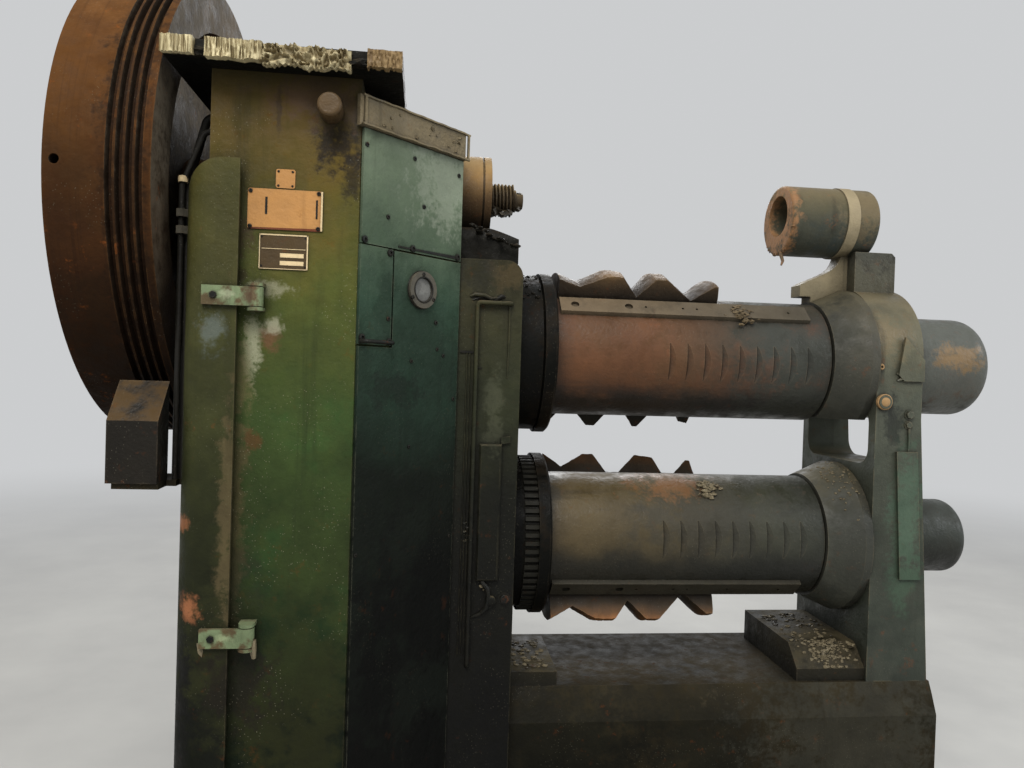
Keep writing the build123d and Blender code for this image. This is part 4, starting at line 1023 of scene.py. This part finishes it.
def cheek_details():
    front = cheek_front
    olive, dark, pale = Pile(), Pile(), Pile()
    olive.bead(front, [
        (-0.742, 0.001, 1.7, 0.003), (-0.728, 0.004, 1.706, 0.005), (-0.704, 0.004, 1.704, 0.006),
        (-0.684, 0.003, 1.695, 0.005), (-0.668, 0.004, 1.699, 0.003),
    ])
    dark.bead(front, [
        (-0.735, 0.0, 1.6905, 0.002), (-0.716, 0.001, 1.6975, 0.0036), (-0.694, 0.001, 1.6965, 0.0022),
    ])
    dark.bead(front, [
        (-0.683, 0.0, 1.687, 0.002), (-0.668, 0.002, 1.6955, 0.005), (-0.655, 0.002, 1.704, 0.006),
        (-0.646, 0.0, 1.703, 0.003),
    ])
    olive.bead(front, [
        (-0.64, 0.0, 1.69, 0.002), (-0.633, 0.001, 1.672, 0.003), (-0.632, 0.001, 1.6, 0.003),
        (-0.634, 0.0, 1.48, 0.002),
    ])
    line_y = front - 0.001
    for x in (-0.7455, -0.7375, -0.7295):
        olive.rod([(x, line_y, 1.552), (x, line_y, 1.15), (x - 0.002, line_y, 0.72)], 0.0022, 6)
    dark.on_wall(front, ((-0.765, 1.5465), (-0.716, 1.5465), (-0.718, 1.5505), (-0.763, 1.5515)), 0.005)
    dark.on_wall(front, ((-0.723, 1.504), (-0.704, 1.505), (-0.704, 1.5075), (-0.723, 1.508)), 0.004)
    olive.on_wall(front, ((-0.645, 1.3), (-0.62, 1.304), (-0.621, 1.322), (-0.645, 1.319)), 0.009)
    dark.nut((-0.623, front, 0.874), to_front, 0.013)
    cup = [(-0.002, 0.014), (0.01, 0.013), (0.013, 0.009), (0.013, 0.005)]
    olive.lathe((-0.66, front, 0.868), to_front, cup, 14)
    dark.bead(front, [
        (-0.69, 0.0, 0.93, 0.004), (-0.684, 0.01, 0.918, 0.006), (-0.672, 0.012, 0.905, 0.007),
        (-0.668, 0.01, 0.885, 0.006), (-0.672, 0.008, 0.85, 0.006), (-0.69, 0.004, 0.832, 0.005),
        (-0.712, 0.0, 0.822, 0.003),
    ])
    pale.lump((-0.686, front - 0.006, 0.909), (0.008, 0.005, 0.005), 2.0)
    pale.lump((-0.68, front - 0.004, 0.9), (0.004, 0.004, 0.003), 4.0)
    for seed in range(5):
        centre = (-0.736 + 0.006 * (seed % 2), front, 1.08 - 0.012 * seed)
        olive.lump(centre, (0.007, 0.004, 0.005), seed + 0.3)
    olive.place("cheek_ledges", cheek_olive)
    dark.place("cheek_marks", steel_black)
    pale.place("cheek_bits", crumb_pale)
    heap = Pile()
    source = random.Random(11)
    for k in range(40):
        x = source.uniform(-0.745, -0.612)
        top = 1.9 - max(0.0, (x + 0.735)) * 0.45
        size = source.uniform(0.004, 0.011)
        heap.lump((x, source.uniform(-0.285, -0.18), top - 0.002), (size, size, 0.6 * size), k * 1.3)
    heap.place("cap_heap", cap_dark)


cheek_details()


# Stand: a brass plug, an oil sight, nuts and beads


def stand_details():
    front = -0.221
    brass, dark, lens = Pile(), Pile(), Pile()
    plug = [(-0.006, 0.01), (0.007, 0.01), (0.01, 0.008), (0.01, 0.004), (0.006, 0.004)]
    brass.lathe((0.5, front, 1.549), to_front, plug, 12)
    sight = [(-0.004, 0.024), (0.006, 0.024), (0.008, 0.021), (0.005, 0.019), (0.01, 0.014), (0.012, 0.005)]
    lens.lathe((0.514, front - 0.004, 1.444), to_front, sight, 20)
    dark.bead(front, [
        (0.552, 0.001, 1.531, 0.003), (0.566, 0.004, 1.526, 0.005), (0.568, 0.004, 1.514, 0.005),
        (0.556, 0.001, 1.509, 0.003),
    ])
    for x, z, size in ((0.598, 1.407, 0.012), (0.596, 1.376, 0.01)):
        dark.nut((x, -0.222, z), to_front, size)
    dark.bead(front, [
        (0.598, 0.003, 1.366, 0.004), (0.599, 0.004, 1.33, 0.003), (0.598, 0.003, 1.288, 0.0015),
    ])
    brass.place("stand_plug", brass_dull)
    dark.place("stand_nuts", stand_grey)
    lens.place("oil_sight", brass_dull)


stand_details()


# Straps: bolts and worn stubs of the guard door's hinges


def strap_details():
    dark, worn = Pile(), Pile()
    front = -0.5855
    for x, z in ((-1.34, 1.651), (-1.326, 0.867)):
        dark.nut((x, front, z), to_front, 0.0085)
        dark.screw((x + 0.05, front, z - 0.006), to_front, 0.0045)
    dark.place("strap_bolts", steel_black, "guard_door")
    for x, z in ((-1.352, 0.835), (-1.238, 0.838)):
        path = [(x, -0.57, z + 0.02), (x + 0.003, -0.572, z), (x + 0.006, -0.571, z - 0.022)]
        worn.rod(path, [0.01, 0.009, 0.005], 7)
    worn.place("strap_stubs", crumb_pale, "guard_door")


strap_details()


# Hose ends


def hose_ends():
    pale, dark = Pile(), Pile()
    x, y = -1.441, -0.488
    upward = (0, 0, 1)
    pale.lathe((x, y, 1.922), upward, [(0.0, 0.0115), (0.012, 0.0115), (0.015, 0.009)])
    for z in (1.849, 1.809):
        dark.lathe((x, y, z), upward, [(-0.009, 0.015), (0.009, 0.015)], 6)
    pale.place("hose_ferrule", plate_bright)
    dark.place("hose_connectors", steel_dull)


hose_ends()


# Dirt and grease that has dried in lumps


def dirt():
    pale, dark, tube = Pile(), Pile(), Pile()
    source = random.Random(23)
    low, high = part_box("lower_collar")
    for k in range(90):
        x = source.uniform(low[0] + 0.03, high[0] - 0.005)
        reach = 0.196 + 0.042 * min(1.0, (x - low[0]) / (high[0] - 0.025 - low[0]))
        turn = source.gauss(0.45, 0.3)
        size = source.uniform(0.0015, 0.005)
        pale.lump(round_axis(x, reach - 0.001, turn, lower_height), (size, size, 0.7 * size), k * 1.9)
    for node in ("right_foot_block", "left_foot_block"):
        low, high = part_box(node)
        for k in range(70):
            x = source.uniform(low[0] + 0.02, high[0] - 0.02)
            y = source.uniform(low[1] + 0.03, high[1] - 0.05)
            size = source.uniform(0.002, 0.008)
            (pale if k % 3 else dark).lump((x, y, high[2] + 0.001), (1.3 * size, size, 0.5 * size), k * 2.7)
    low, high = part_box("right_foot_block")
    for k in range(190):
        x = 0.5 * (low[0] + high[0]) + min(max(source.gauss(0.01, 0.034), -0.09), 0.09)
        y = low[1] + min(max(source.gauss(0.04, 0.022), 0.004), 0.12)
        size = source.uniform(0.002, 0.0065)
        pale.lump((x, y, high[2] - max(0.0, low[1] + 0.06 - y)), (1.2 * size, size, 0.8 * size), k * 3.1)
    pale.place("dry_crumbs", crumb_pale)
    dark.place("greasy_crumbs", crumb_dark)
    for k in range(26):
        turn = source.uniform(1.9, 4.1)
        size = source.uniform(0.004, 0.009)
        tube.lump(round_axis(0.267 + 0.4 * size, 0.103, turn, 2.015), (0.7 * size, size, size), k * 1.1)
    path = [(0.272, -0.02, 1.918), (0.268, -0.024, 1.902), (0.272, -0.03, 1.882), (0.266, -0.032, 1.868)]
    tube.rod(path, [0.008, 0.006, 0.005, 0.003])
    tube.place("tube_lip", tube_rust)


dirt()


def roll_grease(source, body, disc, height, sunk, mark, crust_material):
    """Lumps on a disc, and a crust about a mark (x, y, z) on the barrel, which turn with the roll."""
    low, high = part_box(disc)
    rim = 0.5 * (high[2] - low[2]) - sunk
    lumps, crust = Pile(), Pile()
    for k in range(70):
        turn = source.uniform(-1.2, 0.9)
        size = source.uniform(0.003, 0.009)
        x = source.uniform(low[0] + 0.01, high[0] - 0.01)
        if disc == "lower_gear":
            # On the hub, beside the teeth
            x = low[0] + 0.009 + 0.3 * (x - low[0])
        lumps.lump(round_axis(x, rim, turn, height), (size, size, 0.7 * size), k * 1.7)
    lumps.place(body + "_grease", disc_greasy, body)
    reach = math.hypot(mark[1], mark[2] - height)
    middle = math.atan2(-mark[1], mark[2] - height)
    for k in range(44):
        size = source.uniform(0.002, 0.007)
        x, turn = mark[0] + source.gauss(0.0, 0.016), middle + source.gauss(0.0, 0.1)
        crust.lump(round_axis(x, reach, turn, height), (1.5 * size, size, 0.8 * size), k * 2.9)
    for k in range(14):
        x, turn = mark[0] + source.gauss(0.0, 0.022), middle + source.gauss(0.0, 0.08)
        start = Vector(round_axis(x, reach, turn, height))
        away = Vector((source.uniform(-0.012, 0.018), -0.004, source.uniform(-0.006, 0.009)))
        path = [start, start + 0.6 * away + Vector((0.0, -0.003, 0.002)), start + away]
        crust.rod(path, [0.0016, 0.0014, 0.0007], 5)
    crust.place(body + "_crust", crust_material, body)


draws = random.Random(31)
roll_grease(draws, "upper_roll", "upper_back_disc", upper_height, 0.002, (0.095, -0.15, 1.692), crumb_brown)
roll_grease(draws, "lower_roll", "lower_gear", lower_height, 0.0135, (0.02, -0.105, 1.16), crumb_pale)


# Floor and light


def studio():
    pale = (0.6, 0.61, 0.62, 1.0)
    floor_mesh = bpy.data.meshes.new("floor")
    half = 60.0
    corners = [(-half, -half, 0), (half, -half, 0), (half, half, 0), (-half, half, 0)]
    floor_mesh.from_pydata(corners, [], [(0, 1, 2, 3)])
    floor = bpy.data.objects.new("floor", floor_mesh)
    scene.collection.objects.link(floor)
    # The floor's paint fades into the colour of the sky, so that no horizon shows
    paint = Surface("floor_pale")
    tones = paint.ramp(paint.noise(1.5, 4.0), [(0.3, srgb(176, 175, 172)), (0.7, srgb(188, 187, 183))])
    paint.put(paint.shader.inputs["Base Color"], tones)
    paint.shader.inputs["Roughness"].default_value = 0.8
    paint.shader.inputs["Specular IOR Level"].default_value = 0.2
    far = paint.fade(paint.length(paint.place), 3.0, 11.0)
    mix = paint.add("MixShader", far, paint.shader.outputs[0], paint.add("Emission", pale))
    paint.put(paint.output.inputs[0], mix)
    floor_mesh.materials.append(paint.material)
    scene.world = bpy.data.worlds.new("studio")
    scene.world.use_nodes = True
    background = scene.world.node_tree.nodes["Background"]
    background.inputs["Color"].default_value = pale
    background.inputs["Strength"].default_value = 1.0
    for name, place, aim, size, power, tint in (
        ("key", (-1.6, -3.4, 5.2), (-0.3, 0.0, 1.4), 2.6, 210.0, (1.0, 0.97, 0.92)),
        ("side", (4.6, -2.2, 3.6), (0.2, 0.0, 1.4), 2.5, 90.0, (0.93, 0.97, 1.0)),
        ("back", (0.5, 4.5, 4.6), (-0.3, 0.0, 1.4), 3.0, 130.0, (1.0, 1.0, 1.0)),
    ):
        light = bpy.data.objects.new(name, bpy.data.lights.new(name, "AREA"))
        light.data.shape = "DISK"
        light.data.size = size
        light.data.energy = power
        light.data.color = tint
        light.location = place
        light.rotation_euler = (Vector(aim) - Vector(place)).to_track_quat("-Z", "Y").to_euler()
        scene.collection.objects.link(light)
    scene.view_settings.view_transform = "Standard"
    scene.cycles.max_bounces = 4
    scene.cycles.diffuse_bounces = 3
    scene.cycles.glossy_bounces = 2


studio()
